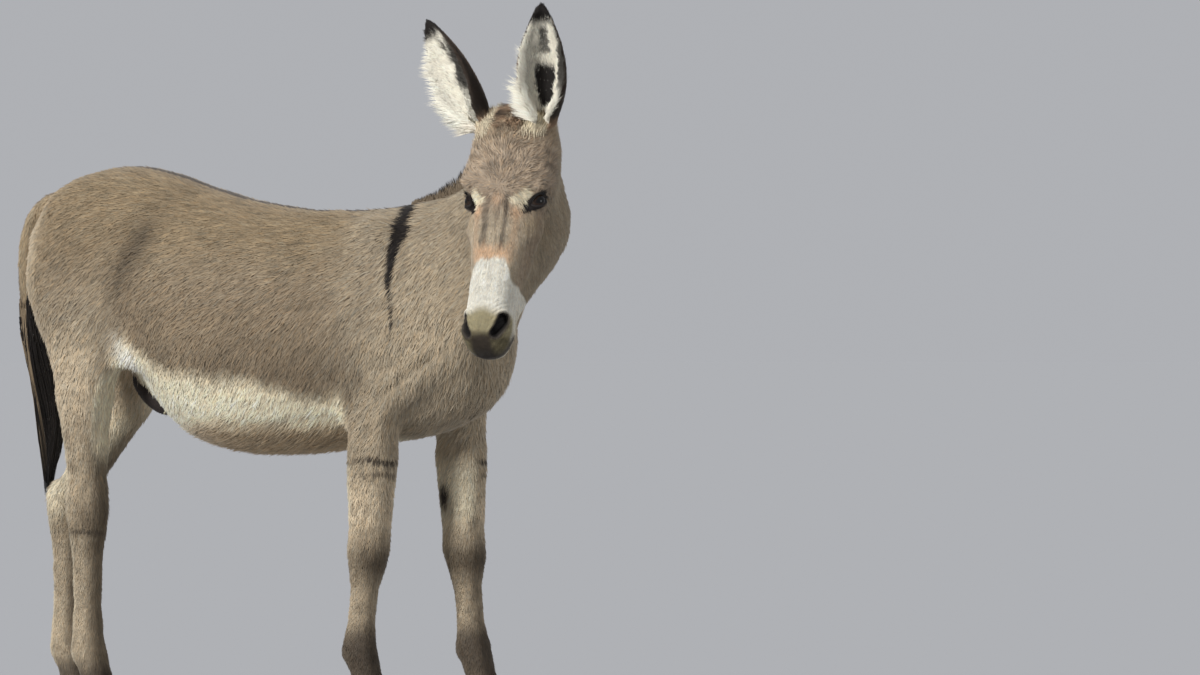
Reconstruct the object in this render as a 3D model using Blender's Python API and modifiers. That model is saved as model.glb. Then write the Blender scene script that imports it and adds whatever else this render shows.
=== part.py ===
"""A standing grey donkey, still and life-size, in metres with +Z up.

It faces +X, its left side is +Y, and its head is turned to its right. Places are given from the
point of the ground below the withers. At the end the whole animal is moved so that its origin is
the middle of its box, on the ground.

The flesh is modelled whole: lofted trunk, neck, head and legs with the muscles laid on them,
melted into one skin and parted again by thin cuts. Hooves, eyes, ears, mane and tail are fitted
to that body with the same thin gap.
"""

import math
from collections import namedtuple

import bmesh
import bpy
import numpy as np
from mathutils import Matrix, Vector

# ---------------------------------------------------------------- driving dimensions, in metres
GAP = 0.0003            # clear space between neighbouring solids
VOXEL = 0.0065          # grain at which the muscles are melted together
SMOOTHING = 14          # rounds of smoothing that blend them
COAT = 0.0015           # what the smoothing takes off the limbs, put back on all over
HOOF_HEIGHT = 0.062
LEG_OUT = 0.108         # from the mid-plane to the middle of a leg
HEAD_TURN = math.radians(88)     # to the donkey's right
HEAD_TILT = math.radians(18)     # of the face, forward of hanging straight down
POLL = Vector((0.355, -0.165, 1.318))
HULL_MARGIN = 0.009      # how far the form that parts the head from the neck stands off it
EYE_RADIUS = 0.0195
EYE_PLACE = (0.203, -0.040, 0.0735)     # on the head: down, out, to its side
EYE_SEGMENTS = 14
EAR_LENGTH = 0.262
HEEL_CUT = 0.004         # how much shorter a hoof is behind its middle than before it
RING_POINTS = 28

HEAD_TRIANGLES = 8300       # the finely reduced body, of which only the head is kept
BODY_TRIANGLES = 4000       # the coarsely reduced one, of which all the rest is kept


# ---------------------------------------------------------------- small tools
def clear_scene():
    for thing in list(bpy.data.objects):
        bpy.data.objects.remove(thing, do_unlink=True)


def collection(name):
    made = bpy.data.collections.new(name)
    bpy.context.scene.collection.children.link(made)
    return made


def material(name, colour, roughness, metallic=0.0):
    made = bpy.data.materials.new(name)
    made.use_nodes = True
    shader = made.node_tree.nodes["Principled BSDF"]
    shader.inputs["Base Color"].default_value = (*colour, 1.0)
    shader.inputs["Roughness"].default_value = roughness
    shader.inputs["Metallic"].default_value = metallic
    made.diffuse_color = (*colour, 1.0)
    return made


def mesh_object(name, vertices, faces, home):
    mesh = bpy.data.meshes.new(name)
    mesh.from_pydata([tuple(v) for v in vertices], [], faces)
    bm = bmesh.new()
    bm.from_mesh(mesh)
    bmesh.ops.recalc_face_normals(bm, faces=bm.faces)
    bm.to_mesh(mesh)
    bm.free()
    made = bpy.data.objects.new(name, mesh)
    home.objects.link(made)
    return made


def catmull(rows, steps):
    """The rows of numbers with a smooth curve's points set between each two of them."""
    table = np.array(rows, dtype=float)
    padded = np.vstack([2 * table[0] - table[1], table, 2 * table[-1] - table[-2]])
    out = []
    for i in range(1, len(padded) - 2):
        a, b, c, d = padded[i - 1:i + 3]
        for k in range(steps):
            u = k / steps
            out.append(0.5 * (2 * b + (c - a) * u + (2 * a - 5 * b + 4 * c - d) * u * u
                              + (3 * b - a - 3 * c + d) * u ** 3))
    out.append(table[-1])
    return out


def ring(centre, side, up, half_width, above, below, top_power=2.0, bottom_power=2.0,
         count=RING_POINTS):
    """An egg-shaped ring; a power of 2 is an ellipse, more is boxier and less is more pointed."""
    points = []
    for k in range(count):
        angle = 2 * math.pi * k / count
        c, s = math.cos(angle), math.sin(angle)
        power = 2.0 / (top_power if s >= 0 else bottom_power)
        across = math.copysign(abs(c) ** power, c) * half_width
        rise = math.copysign(abs(s) ** power, s) * (above if s >= 0 else below)
        points.append(centre + side * across + up * rise)
    return points


def loft(name, rings, home):
    """A closed solid through rings of equally many points, with flat ends."""
    count = len(rings[0])
    vertices = [p for one in rings for p in one]
    faces = []
    for r in range(len(rings) - 1):
        for k in range(count):
            n = (k + 1) % count
            a, b = r * count, (r + 1) * count
            faces.append((a + k, a + n, b + n, b + k))
    faces.append(tuple(range(count)))
    last = (len(rings) - 1) * count
    faces.append(tuple(range(last, last + count)))
    return mesh_object(name, vertices, faces, home)


def evaluated_copy(thing, name, home):
    """A new plain mesh object of what a thing's modifiers make."""
    graph = bpy.context.evaluated_depsgraph_get()
    mesh = bpy.data.meshes.new_from_object(thing.evaluated_get(graph))
    made = bpy.data.objects.new(name, mesh)
    made.matrix_world = thing.matrix_world
    home.objects.link(made)
    return made


def discard(*things):
    for thing in things:
        bpy.data.objects.remove(thing, do_unlink=True)


def joined(name, things, home):
    bm = bmesh.new()
    for thing in things:
        part = thing.data.copy()
        part.transform(thing.matrix_world)
        bm.from_mesh(part)
        bpy.data.meshes.remove(part)
    mesh = bpy.data.meshes.new(name)
    bm.to_mesh(mesh)
    bm.free()
    made = bpy.data.objects.new(name, mesh)
    home.objects.link(made)
    discard(*things)
    return made


def boolean(thing, cutter, operation, home):
    """The thing cut by, or kept within, the cutter; both are used up, and so is the old thing."""
    step = thing.modifiers.new("cut", "BOOLEAN")
    step.operation = operation
    step.object = cutter
    name = thing.name
    made = evaluated_copy(thing, "cut", home)
    discard(thing, cutter)
    made.name = name
    return made


def reduced(thing, triangles, name, home):
    count = sum(len(f.vertices) - 2 for f in thing.data.polygons)
    step = thing.modifiers.new("reduce", "DECIMATE")
    step.ratio = triangles / count
    step.use_collapse_triangulate = True
    made = evaluated_copy(thing, name, home)
    thing.modifiers.remove(step)
    return made


def swollen(thing, amount, name, home):
    """A copy whose every vertex is moved outwards along its normal."""
    made = bpy.data.objects.new(name, thing.data.copy())
    home.objects.link(made)
    normals = [v.normal.copy() for v in made.data.vertices]
    for vertex, normal in zip(made.data.vertices, normals):
        vertex.co += normal * amount
    return made


def relax(thing, rounds, amount=0.5, back=-0.53):
    """Taubin smoothing: creases melt away, and slender limbs keep their thickness."""
    mesh = thing.data
    count = len(mesh.vertices)
    places = np.empty(count * 3)
    mesh.vertices.foreach_get("co", places)
    places = places.reshape(-1, 3)
    edges = np.empty(len(mesh.edges) * 2, dtype=np.int64)
    mesh.edges.foreach_get("vertices", edges)
    a, b = edges.reshape(-1, 2).T
    degree = np.bincount(a, minlength=count) + np.bincount(b, minlength=count)
    for step in range(2 * rounds):
        total = np.empty_like(places)
        for axis in range(3):
            column = places[:, axis]
            total[:, axis] = (np.bincount(a, column[b], count) + np.bincount(b, column[a], count))
        places += (amount if step % 2 == 0 else back) * (total / degree[:, None] - places)
    mesh.vertices.foreach_set("co", places.ravel())
    mesh.update()


def ball(name, centre, radii, turn, home, segments=24):
    """An ellipsoid; turn is (about X, about Y, about Z) in degrees."""
    mesh = bpy.data.meshes.new(name)
    bm = bmesh.new()
    bmesh.ops.create_uvsphere(bm, u_segments=segments, v_segments=segments // 2, radius=1.0)
    bm.to_mesh(mesh)
    bm.free()
    rotation = Matrix.Identity(3)
    for angle, axis in zip(turn, "XYZ"):
        rotation = Matrix.Rotation(math.radians(angle), 3, axis) @ rotation
    shape = rotation.to_4x4() @ Matrix.Diagonal((*radii, 1.0))
    mesh.transform(Matrix.Translation(centre) @ shape)
    made = bpy.data.objects.new(name, mesh)
    home.objects.link(made)
    return made


# ---------------------------------------------------------------- trunk
Slice = namedtuple("Slice", "x top bottom half_width widest top_power bottom_power")
TRUNK = [
    Slice(-0.862, 1.095, 0.950, 0.045, 1.03, 2.0, 2.0),
    Slice(-0.835, 1.138, 0.880, 0.095, 1.03, 2.0, 2.0),
    Slice(-0.780, 1.172, 0.820, 0.140, 1.01, 2.0, 1.9),
    Slice(-0.700, 1.195, 0.770, 0.168, 1.00, 2.0, 1.7),
    Slice(-0.610, 1.197, 0.722, 0.184, 0.98, 2.0, 1.7),
    Slice(-0.515, 1.174, 0.625, 0.204, 0.91, 2.0, 1.9),
    Slice(-0.410, 1.140, 0.586, 0.222, 0.85, 2.0, 2.2),
    Slice(-0.300, 1.115, 0.573, 0.232, 0.81, 2.0, 2.2),
    Slice(-0.180, 1.103, 0.578, 0.222, 0.80, 1.9, 2.1),
    Slice(-0.060, 1.108, 0.592, 0.192, 0.80, 1.7, 2.0),
    Slice(0.040, 1.112, 0.604, 0.162, 0.80, 1.6, 2.0),
    Slice(0.130, 1.060, 0.626, 0.140, 0.80, 1.7, 2.0),
    Slice(0.205, 0.975, 0.665, 0.118, 0.81, 2.0, 2.0),
    Slice(0.250, 0.900, 0.715, 0.080, 0.81, 2.0, 2.0),
]


def trunk(home):
    rings = []
    for row in catmull(TRUNK, 3):
        s = Slice(*row)
        centre = Vector((s.x, 0.0, s.widest))
        rings.append(ring(centre, Vector((0, 1, 0)), Vector((0, 0, 1)), s.half_width,
                          s.top - s.widest, s.widest - s.bottom, s.top_power, s.bottom_power))
    return loft("trunk_form", rings, home)


# Muscles and bones that show on both sides: centre (y is outwards), radii, turns in degrees
Bulge = namedtuple("Bulge", "name centre radii turn")
BULGES = [
    Bulge("shoulder_blade", (0.045, 0.072, 0.930), (0.074, 0.060, 0.190), (-8, -26, 0)),
    Bulge("shoulder_point", (0.180, 0.084, 0.810), (0.064, 0.048, 0.090), (0, 10, 0)),
    Bulge("upper_arm", (0.075, 0.108, 0.755), (0.125, 0.054, 0.078), (0, -32, 0)),
    Bulge("elbow_muscle", (-0.025, 0.116, 0.765), (0.080, 0.050, 0.120), (0, 14, 0)),
    Bulge("breast", (0.200, 0.044, 0.785), (0.058, 0.048, 0.105), (0, 10, 0)),
    Bulge("hip_bone", (-0.560, 0.104, 1.078), (0.100, 0.054, 0.062), (20, 12, 0)),
    Bulge("croup_muscle", (-0.690, 0.066, 1.070), (0.155, 0.088, 0.112), (10, 4, 0)),
    Bulge("haunch", (-0.705, 0.098, 0.950), (0.150, 0.082, 0.170), (0, -8, 0)),
    Bulge("seat", (-0.795, 0.068, 0.985), (0.078, 0.066, 0.125), (0, -10, 0)),
    Bulge("flank_fold", (-0.560, 0.142, 0.815), (0.080, 0.030, 0.060), (0, -35, 0)),
]


def bulges(home):
    made = []
    for b in BULGES:
        for side in (1, -1):
            x, y, z = b.centre
            about_x, about_y, about_z = b.turn
            made.append(ball(b.name, Vector((x, side * y, z)), b.radii,
                             (side * about_x, about_y, side * about_z), home))
    return made


# ---------------------------------------------------------------- legs
# The joints of a leg as (x, z): shoulder, elbow, knee, fetlock and coronet in front, and hip,
# stifle, hock, fetlock and coronet behind. A girth's place is counted along them, and out is how
# much further from the mid-plane than LEG_OUT its middle lies.
Girth = namedtuple("Girth", "place half_length half_width out")
FORE_JOINTS = {
    "right": ((0.050, 0.800), (0.000, 0.645), (-0.016, 0.370), (-0.040, 0.158), (-0.006, 0.050)),
    "left": ((0.090, 0.800), (0.088, 0.645), (0.102, 0.370), (0.124, 0.158), (0.158, 0.050)),
}
FORE_GIRTHS = [
    Girth(0.00, 0.080, 0.046, 0.000),
    Girth(0.60, 0.066, 0.050, 0.004),
    Girth(1.00, 0.058, 0.050, 0.006),
    Girth(1.35, 0.054, 0.047, 0.004),
    Girth(1.65, 0.048, 0.042, 0.002),
    Girth(1.85, 0.045, 0.040, 0.000),
    Girth(2.00, 0.047, 0.043, 0.000),
    Girth(2.18, 0.041, 0.038, 0.000),
    Girth(2.36, 0.032, 0.029, 0.000),
    Girth(2.65, 0.029, 0.025, 0.000),
    Girth(2.85, 0.033, 0.029, 0.000),
    Girth(3.00, 0.039, 0.035, 0.000),
    Girth(3.28, 0.034, 0.032, 0.000),
    Girth(3.58, 0.032, 0.031, 0.000),
    Girth(3.85, 0.040, 0.037, 0.000),
    Girth(4.00, 0.040, 0.037, 0.000),
]
HIND_JOINTS = {
    "right": ((-0.715, 0.980), (-0.704, 0.780), (-0.708, 0.450), (-0.706, 0.150), (-0.672, 0.050)),
    "left": ((-0.720, 0.980), (-0.692, 0.765), (-0.876, 0.455), (-0.878, 0.150), (-0.846, 0.050)),
}
HIND_GIRTHS = [
    Girth(0.00, 0.148, 0.072, -0.006),
    Girth(0.35, 0.140, 0.078, 0.002),
    Girth(0.70, 0.112, 0.074, 0.006),
    Girth(0.90, 0.094, 0.066, 0.008),
    Girth(1.16, 0.076, 0.057, 0.008),
    Girth(1.36, 0.062, 0.049, 0.006),
    Girth(1.58, 0.050, 0.041, 0.004),
    Girth(1.76, 0.043, 0.035, 0.002),
    Girth(1.92, 0.048, 0.035, 0.000),
    Girth(2.04, 0.048, 0.037, 0.000),
    Girth(2.16, 0.041, 0.034, 0.000),
    Girth(2.34, 0.034, 0.029, 0.000),
    Girth(2.66, 0.031, 0.026, 0.000),
    Girth(2.86, 0.034, 0.030, 0.000),
    Girth(3.00, 0.040, 0.036, 0.000),
    Girth(3.28, 0.035, 0.033, 0.000),
    Girth(3.58, 0.033, 0.032, 0.000),
    Girth(3.85, 0.038, 0.036, 0.000),
    Girth(4.00, 0.038, 0.036, 0.000),
]
SIDES = {"left": 1, "right": -1}


def along(joints, place):
    """The point (x, z) at a place such as 1.5, halfway between the second and third joint."""
    first = min(int(place), len(joints) - 2)
    part = place - first
    (x0, z0), (x1, z1) = joints[first], joints[first + 1]
    return x0 + (x1 - x0) * part, z0 + (z1 - z0) * part


def slant(joints, place):
    """How much longer a level slice of the leg is there than a square one."""
    x0, z0 = along(joints, place - 0.15)
    x1, z1 = along(joints, place + 0.15)
    return math.hypot(x1 - x0, z1 - z0) / abs(z1 - z0)


def leg(name, joints, girths, side, home):
    rings = []
    for g in girths:
        x, z = along(joints, g.place)
        half_length = g.half_length * slant(joints, g.place)
        centre = Vector((x, side * (LEG_OUT + g.out), z))
        rings.append(ring(centre, Vector((0, 1, 0)), Vector((1, 0, 0)), g.half_width,
                          half_length, half_length, 2.2, 2.2, 20))
    return loft(name, rings, home)


def leg_bones(home):
    """The knobs that show on the slender part of the legs: hock point, tendons, ergots."""
    made = []
    for side_name, side in SIDES.items():
        y = side * LEG_OUT
        hock_x, hock_z = HIND_JOINTS[side_name][2]
        made.append(ball("hock_point", Vector((hock_x - 0.030, y, hock_z + 0.020)),
                         (0.024, 0.020, 0.044), (0, 6, 0), home))
        knee_x, knee_z = FORE_JOINTS[side_name][2]
        made.append(ball("knee_back", Vector((knee_x - 0.030, y, knee_z + 0.004)),
                         (0.018, 0.024, 0.034), (0, 0, 0), home))
        for joints in (FORE_JOINTS, HIND_JOINTS):
            x, z = joints[side_name][3]
            made.append(ball("fetlock_back", Vector((x - 0.020, y, z - 0.004)),
                             (0.020, 0.026, 0.028), (0, 20, 0), home))
    return made


def hoof(name, coronet, side, home):
    """A narrow upright hoof with a flat sole: round toe, straighter heels."""
    x = coronet[0]
    rows = ((HOOF_HEIGHT - GAP, -0.002, 0.040, 0.037), (0.046, 0.003, 0.043, 0.0395),
            (0.004, 0.012, 0.049, 0.0435), (0.000, 0.012, 0.0475, 0.042))
    rings = []
    for z, forward, half_length, half_width in rows:
        centre = Vector((x + forward, side * LEG_OUT, z))
        rings.append(ring(centre, Vector((0, 1, 0)), Vector((1, 0, 0)), half_width,
                          half_length, half_length - HEEL_CUT, 2.1, 3.0, 16))
    return loft(name, rings, home)


# ---------------------------------------------------------------- neck and head
Neck = namedtuple("Neck", "crest_x crest_y crest_z throat_x throat_y throat_z half_width turn")
NECK = [        # turn: how far the neck has swung to the right there, in degrees
    Neck(-0.110, 0.000, 1.075, 0.090, 0.000, 0.680, 0.125, 0),
    Neck(0.030, 0.000, 1.120, 0.235, 0.000, 0.775, 0.112, 0),
    Neck(0.120, -0.004, 1.132, 0.285, -0.004, 0.855, 0.092, 8),
    Neck(0.205, -0.024, 1.170, 0.314, -0.014, 0.940, 0.080, 22),
    Neck(0.278, -0.058, 1.224, 0.336, -0.030, 1.012, 0.073, 40),
    Neck(0.328, -0.098, 1.274, 0.350, -0.062, 1.080, 0.070, 60),
    Neck(0.352, -0.140, 1.296, 0.358, -0.110, 1.130, 0.068, 80),
]


NECK_WIDEST = 0.46      # of the way from throat to crest


def neck_axes(row):
    """Crest, throat, the way across and the way up of one slice of the neck."""
    n = Neck(*row)
    crest = Vector((n.crest_x, n.crest_y, n.crest_z))
    throat = Vector((n.throat_x, n.throat_y, n.throat_z))
    turn = math.radians(n.turn)
    side = Vector((math.sin(turn), math.cos(turn), 0.0))
    return crest, throat, side, (crest - throat).normalized()


def neck(home):
    rings = []
    for row in catmull(NECK, 3):
        crest, throat, side, up = neck_axes(row)
        centre = throat.lerp(crest, NECK_WIDEST)
        rings.append(ring(centre, side, up, Neck(*row).half_width, (crest - centre).length,
                          (centre - throat).length, 1.75, 1.9, 24))
    return loft("neck_form", rings, home)


def head_frame():
    """Axes of the head: down the face, out of the face, and to the donkey's left."""
    facing = Vector((math.cos(HEAD_TURN), -math.sin(HEAD_TURN), 0.0))
    up = Vector((0, 0, 1))
    down = facing * math.sin(HEAD_TILT) - up * math.cos(HEAD_TILT)
    out = facing * math.cos(HEAD_TILT) + up * math.sin(HEAD_TILT)
    left = up.cross(facing)
    return down, out, left


DOWN_FACE, OUT_OF_FACE, HEAD_LEFT = head_frame()


def on_head(down, out, left=0.0):
    return POLL + DOWN_FACE * down + OUT_OF_FACE * out + HEAD_LEFT * left


# Slices square to the face. front and back are measured out of the line of the face, and the
# widest place lies between them.
Face = namedtuple("Face", "down front back half_width widest front_power back_power")
UPPER_HEAD = [      # skull, nose bridge and muzzle
    Face(-0.012, -0.040, -0.100, 0.040, -0.070, 2.0, 2.0),
    Face(0.012, -0.012, -0.125, 0.072, -0.065, 2.2, 2.0),
    Face(0.055, 0.004, -0.150, 0.090, -0.060, 2.3, 2.0),
    Face(0.110, 0.009, -0.155, 0.098, -0.055, 2.4, 2.0),
    Face(0.160, 0.007, -0.155, 0.101, -0.052, 2.4, 2.0),
    Face(0.205, 0.002, -0.150, 0.089, -0.058, 2.3, 2.2),
    Face(0.250, -0.001, -0.140, 0.075, -0.060, 2.3, 2.3),
    Face(0.300, -0.002, -0.125, 0.066, -0.056, 2.3, 2.4),
    Face(0.350, -0.003, -0.112, 0.057, -0.050, 2.3, 2.4),
    Face(0.400, -0.003, -0.102, 0.051, -0.046, 2.3, 2.3),
    Face(0.440, -0.002, -0.094, 0.051, -0.043, 2.3, 2.3),
    Face(0.475, 0.000, -0.090, 0.055, -0.041, 2.2, 2.2),
    Face(0.500, -0.003, -0.090, 0.055, -0.042, 2.1, 2.2),
    Face(0.522, -0.012, -0.086, 0.049, -0.046, 2.1, 2.1),
    Face(0.538, -0.026, -0.078, 0.037, -0.050, 2.0, 2.0),
    Face(0.545, -0.040, -0.068, 0.018, -0.053, 2.0, 2.0),
]
JAW = [             # cheeks and lower jaw
    Face(0.060, -0.060, -0.145, 0.050, -0.105, 2.0, 2.0),
    Face(0.100, -0.050, -0.185, 0.074, -0.112, 2.0, 2.0),
    Face(0.150, -0.040, -0.222, 0.086, -0.120, 2.1, 2.0),
    Face(0.205, -0.040, -0.246, 0.090, -0.126, 2.2, 2.0),
    Face(0.255, -0.040, -0.250, 0.088, -0.130, 2.2, 1.9),
    Face(0.300, -0.045, -0.232, 0.076, -0.126, 2.1, 1.9),
    Face(0.345, -0.050, -0.196, 0.060, -0.112, 2.1, 1.9),
    Face(0.395, -0.055, -0.158, 0.046, -0.098, 2.1, 2.0),
    Face(0.440, -0.060, -0.132, 0.038, -0.088, 2.1, 2.0),
    Face(0.480, -0.062, -0.118, 0.037, -0.084, 2.1, 2.1),
    Face(0.510, -0.062, -0.113, 0.036, -0.082, 2.1, 2.1),
    Face(0.532, -0.062, -0.103, 0.030, -0.080, 2.0, 2.0),
    Face(0.542, -0.066, -0.090, 0.016, -0.078, 2.0, 2.0),
]
# Forms of the head on both sides: place (down, out, left), radii in the same order, and a
# turn in degrees about the axis out of the face and then about the axis to the left
HeadForm = namedtuple("HeadForm", "name place radii roll pitch")
HEAD_FORMS = [
    HeadForm("brow", (0.165, -0.028, 0.082), (0.038, 0.024, 0.023), 6, 4),
    HeadForm("cheekbone", (0.236, -0.056, 0.058), (0.060, 0.026, 0.022), -14, 8),
    HeadForm("facial_crest", (0.300, -0.064, 0.050), (0.060, 0.016, 0.014), -8, 4),
    HeadForm("cheek_muscle", (0.215, -0.140, 0.058), (0.085, 0.084, 0.034), 2, 0),
    HeadForm("temple", (0.095, -0.064, 0.066), (0.060, 0.054, 0.030), 2, 0),
    HeadForm("ear_base", (0.030, -0.045, 0.062), (0.036, 0.036, 0.028), 0, 0),
    HeadForm("nostril_rim", (0.486, -0.028, 0.034), (0.030, 0.020, 0.020), -12, 8),
    HeadForm("lip_corner", (0.478, -0.074, 0.031), (0.034, 0.022, 0.018), 0, 0),
]


def face_loft(name, rows, home):
    rings = []
    for row in catmull(rows, 2):
        f = Face(*row)
        rings.append(ring(on_head(f.down, f.widest), HEAD_LEFT, OUT_OF_FACE, f.half_width,
                          f.front - f.widest, f.widest - f.back, f.front_power, f.back_power))
    return loft(name, rings, home)


def head_forms(home):
    made = []
    axes = Matrix((DOWN_FACE, OUT_OF_FACE, HEAD_LEFT)).transposed()
    for form in HEAD_FORMS:
        for side in (1, -1):
            down, out, left = form.place
            piece = ball(form.name, Vector((0, 0, 0)), form.radii, (0, 0, 0), home)
            turned = (Matrix.Rotation(math.radians(side * form.roll), 3, "Y")
                      @ Matrix.Rotation(math.radians(form.pitch), 3, "Z"))
            piece.data.transform((axes @ turned).to_4x4())
            piece.data.transform(Matrix.Translation(on_head(down, out, side * left)))
            if (axes @ turned).determinant() < 0:
                piece.data.flip_normals()
            made.append(piece)
    return made


# ---------------------------------------------------------------- ears
# place along the ear, radius of its hollow curl, how far the curl goes round each way in
# degrees, and thickness
Curl = namedtuple("Curl", "place radius half_angle thickness")
EAR = [
    Curl(0.00, 0.026, 150, 0.014),
    Curl(0.10, 0.034, 138, 0.012),
    Curl(0.22, 0.046, 118, 0.011),
    Curl(0.36, 0.055, 98, 0.010),
    Curl(0.52, 0.055, 86, 0.010),
    Curl(0.68, 0.048, 78, 0.009),
    Curl(0.82, 0.035, 70, 0.009),
    Curl(0.92, 0.024, 62, 0.009),
    Curl(0.98, 0.014, 55, 0.008),
    Curl(1.00, 0.009, 48, 0.006),
]
EARS = {    # how far each leans forward and outward, and where its opening faces (azimuth)
    "left": (0.25, 0.075, math.radians(18)),
    "right": (0.15, 0.61, math.radians(-22)),
}
EAR_PLACE = (0.032, -0.038, 0.069)     # on the head: down, out, to its side
EAR_SET_BACK = 0.020        # of the back of the ear's root behind that place
EAR_BOW = 0.012             # how far the back of the ear bends backwards at half its length
EAR_STEPS = 7               # points round each face of the curl


def ear(name, side_name, home):
    side = SIDES[side_name]
    forward, outward, opening = EARS[side_name]
    facing = Vector((math.cos(HEAD_TURN), -math.sin(HEAD_TURN), 0.0))
    axis = (Vector((0, 0, 1)) + facing * forward + HEAD_LEFT * side * outward).normalized()
    down, out, left = EAR_PLACE
    toward = Vector((math.sin(opening), -math.cos(opening), 0.0))
    toward = (toward - axis * toward.dot(axis)).normalized()
    across = axis.cross(toward)
    root = on_head(down, out, side * left) - toward * EAR_SET_BACK
    rings = []
    turns = [2 * k / (EAR_STEPS - 1) - 1 for k in range(EAR_STEPS)]
    for c in EAR:
        bow = EAR_BOW * math.sin(math.pi * c.place)
        middle_of_curl = root + axis * (EAR_LENGTH * c.place) + toward * (c.radius - bow)
        half = math.radians(c.half_angle)
        points = []
        for radius, order in ((c.radius, turns), (c.radius - c.thickness, turns[::-1])):
            for turn in order:
                points.append(middle_of_curl - toward * radius * math.cos(half * turn)
                              + across * radius * math.sin(half * turn))
        rings.append(points)
    return loft(name, rings, home)


# ---------------------------------------------------------------- mane, tail and sheath
MANE_HEIGHT = 0.052
MANE_LEAST = 0.12           # of that height, at the withers
MANE_HALF_WIDTH = 0.015
MANE_ROOT = 0.012           # how far under the crest the middle of a slice lies
MANE_FOOT = 0.006           # how far the slice reaches below its middle
MANE_SPARE = 0.008          # that the height gains, since part of it is inside the neck


def mane(home):
    """A short upright mane on the crest of the neck, lowest at the withers."""
    rings = []
    rows = catmull(NECK[1:], 3)[:-2]
    for k, row in enumerate(rows):
        crest, throat, side, up = neck_axes(row)
        part = k / (len(rows) - 1)
        fullness = min(1.0, part / 0.45, (1.12 - part) / 0.30)
        height = MANE_HEIGHT * (MANE_LEAST + (1 - MANE_LEAST) * fullness)
        rings.append(ring(crest - up * MANE_ROOT, side, up, MANE_HALF_WIDTH,
                          height + MANE_SPARE, MANE_FOOT, 1.8, 2.0, 10))
    return loft("mane", rings, home)


TailRow = namedtuple("TailRow", "x y z half_width half_length")
TAIL_SPLIT = 0.900      # where the switch takes over from the bare dock
DOCK = [
    TailRow(-0.800, 0.000, 1.125, 0.034, 0.022),
    TailRow(-0.850, 0.000, 1.118, 0.033, 0.023),
    TailRow(-0.893, 0.000, 1.082, 0.030, 0.023),
    TailRow(-0.914, 0.001, 1.020, 0.027, 0.022),
    TailRow(-0.919, 0.006, 0.955, 0.025, 0.021),
    TailRow(-0.919, 0.014, TAIL_SPLIT, 0.024, 0.021),
]
SWITCH = [
    TailRow(-0.919, 0.014, TAIL_SPLIT, 0.030, 0.025),
    TailRow(-0.918, 0.034, 0.840, 0.036, 0.029),
    TailRow(-0.916, 0.066, 0.760, 0.040, 0.031),
    TailRow(-0.916, 0.094, 0.680, 0.038, 0.030),
    TailRow(-0.922, 0.112, 0.605, 0.030, 0.025),
    TailRow(-0.930, 0.120, 0.548, 0.018, 0.016),
    TailRow(-0.934, 0.122, 0.518, 0.006, 0.006),
]


def tail_loft(name, rows, home):
    """A soft round form down the rows; its end at the split is level, so the two ends face."""
    table = [TailRow(*row) for row in catmull(rows, 2)]
    places = [Vector((t.x, t.y, t.z)) for t in table]
    rings = []
    for k, t in enumerate(table):
        ahead = places[min(k + 1, len(places) - 1)] - places[max(k - 1, 0)]
        ahead.normalize()
        if math.isclose(t.z, TAIL_SPLIT):
            ahead = Vector((0, 0, -1))
        across = Vector((0, 1, 0))
        rings.append(ring(places[k], across, across.cross(ahead), t.half_width, t.half_length,
                          t.half_length, 2.0, 2.0, 10))
    return loft(name, rings, home)


SHEATH_PLACE = Vector((-0.604, 0.0, 0.708))
SHEATH_RADII = (0.068, 0.027, 0.032)
SHEATH_TURN = (0, 46, 0)


def sheath(home):
    return ball("sheath", SHEATH_PLACE, SHEATH_RADII, SHEATH_TURN, home, 16)


# ---------------------------------------------------------------- cuts
# a point of the cut, its normal, and the half sizes of the thin plate that makes it
Cut = namedtuple("Cut", "point normal half_length half_width")
SHOULDER_CUT = Cut(Vector((0.135, 0.0, 0.98)), Vector((0.86, 0.0, 0.42)), 0.30, 0.30)
ELBOW_HEIGHT = 0.590        # of the cut below the elbow, where the leg stands clear of the belly
ELBOW_LEAN = -0.25
STIFLE_PLACE = 1.20         # on the hind leg's chain of joints
STIFLE_LEAN = -0.10
STIFLE_OUT = 0.012          # of the cut's middle beyond LEG_OUT


def cuts():
    made = [SHOULDER_CUT]
    for side_name, side in SIDES.items():
        elbow = FORE_JOINTS[side_name][1]
        made.append(Cut(Vector((elbow[0], side * LEG_OUT, ELBOW_HEIGHT)),
                        Vector((0.0, side * ELBOW_LEAN, 1.0)), 0.090, 0.070))
        stifle_x, stifle_z = along(HIND_JOINTS[side_name], STIFLE_PLACE)
        made.append(Cut(Vector((stifle_x, side * (LEG_OUT + STIFLE_OUT), stifle_z)),
                        Vector((0.0, side * STIFLE_LEAN, 1.0)), 0.120, 0.088))
        for joints in (FORE_JOINTS, HIND_JOINTS):
            x = joints[side_name][4][0]
            made.append(Cut(Vector((x, side * LEG_OUT, HOOF_HEIGHT + GAP / 2)),
                            Vector((0, 0, 1)), 0.08, 0.08))
    return made


def cutter(home):
    """All the thin plates in one mesh."""
    plates = []
    for c in cuts():
        mesh = bpy.data.meshes.new("plate")
        bm = bmesh.new()
        bmesh.ops.create_cube(bm, size=1.0)
        bm.to_mesh(mesh)
        bm.free()
        normal = c.normal.normalized()
        across = Vector((0, 1, 0))
        across = (across - normal * across.dot(normal)).normalized()
        length = across.cross(normal)
        axes = Matrix((length * 2 * c.half_length, across * 2 * c.half_width, normal * GAP))
        mesh.transform(Matrix.Translation(c.point) @ axes.transposed().to_4x4())
        made = bpy.data.objects.new("plate", mesh)
        home.objects.link(made)
        plates.append(made)
    return joined("plates", plates, home)


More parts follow.
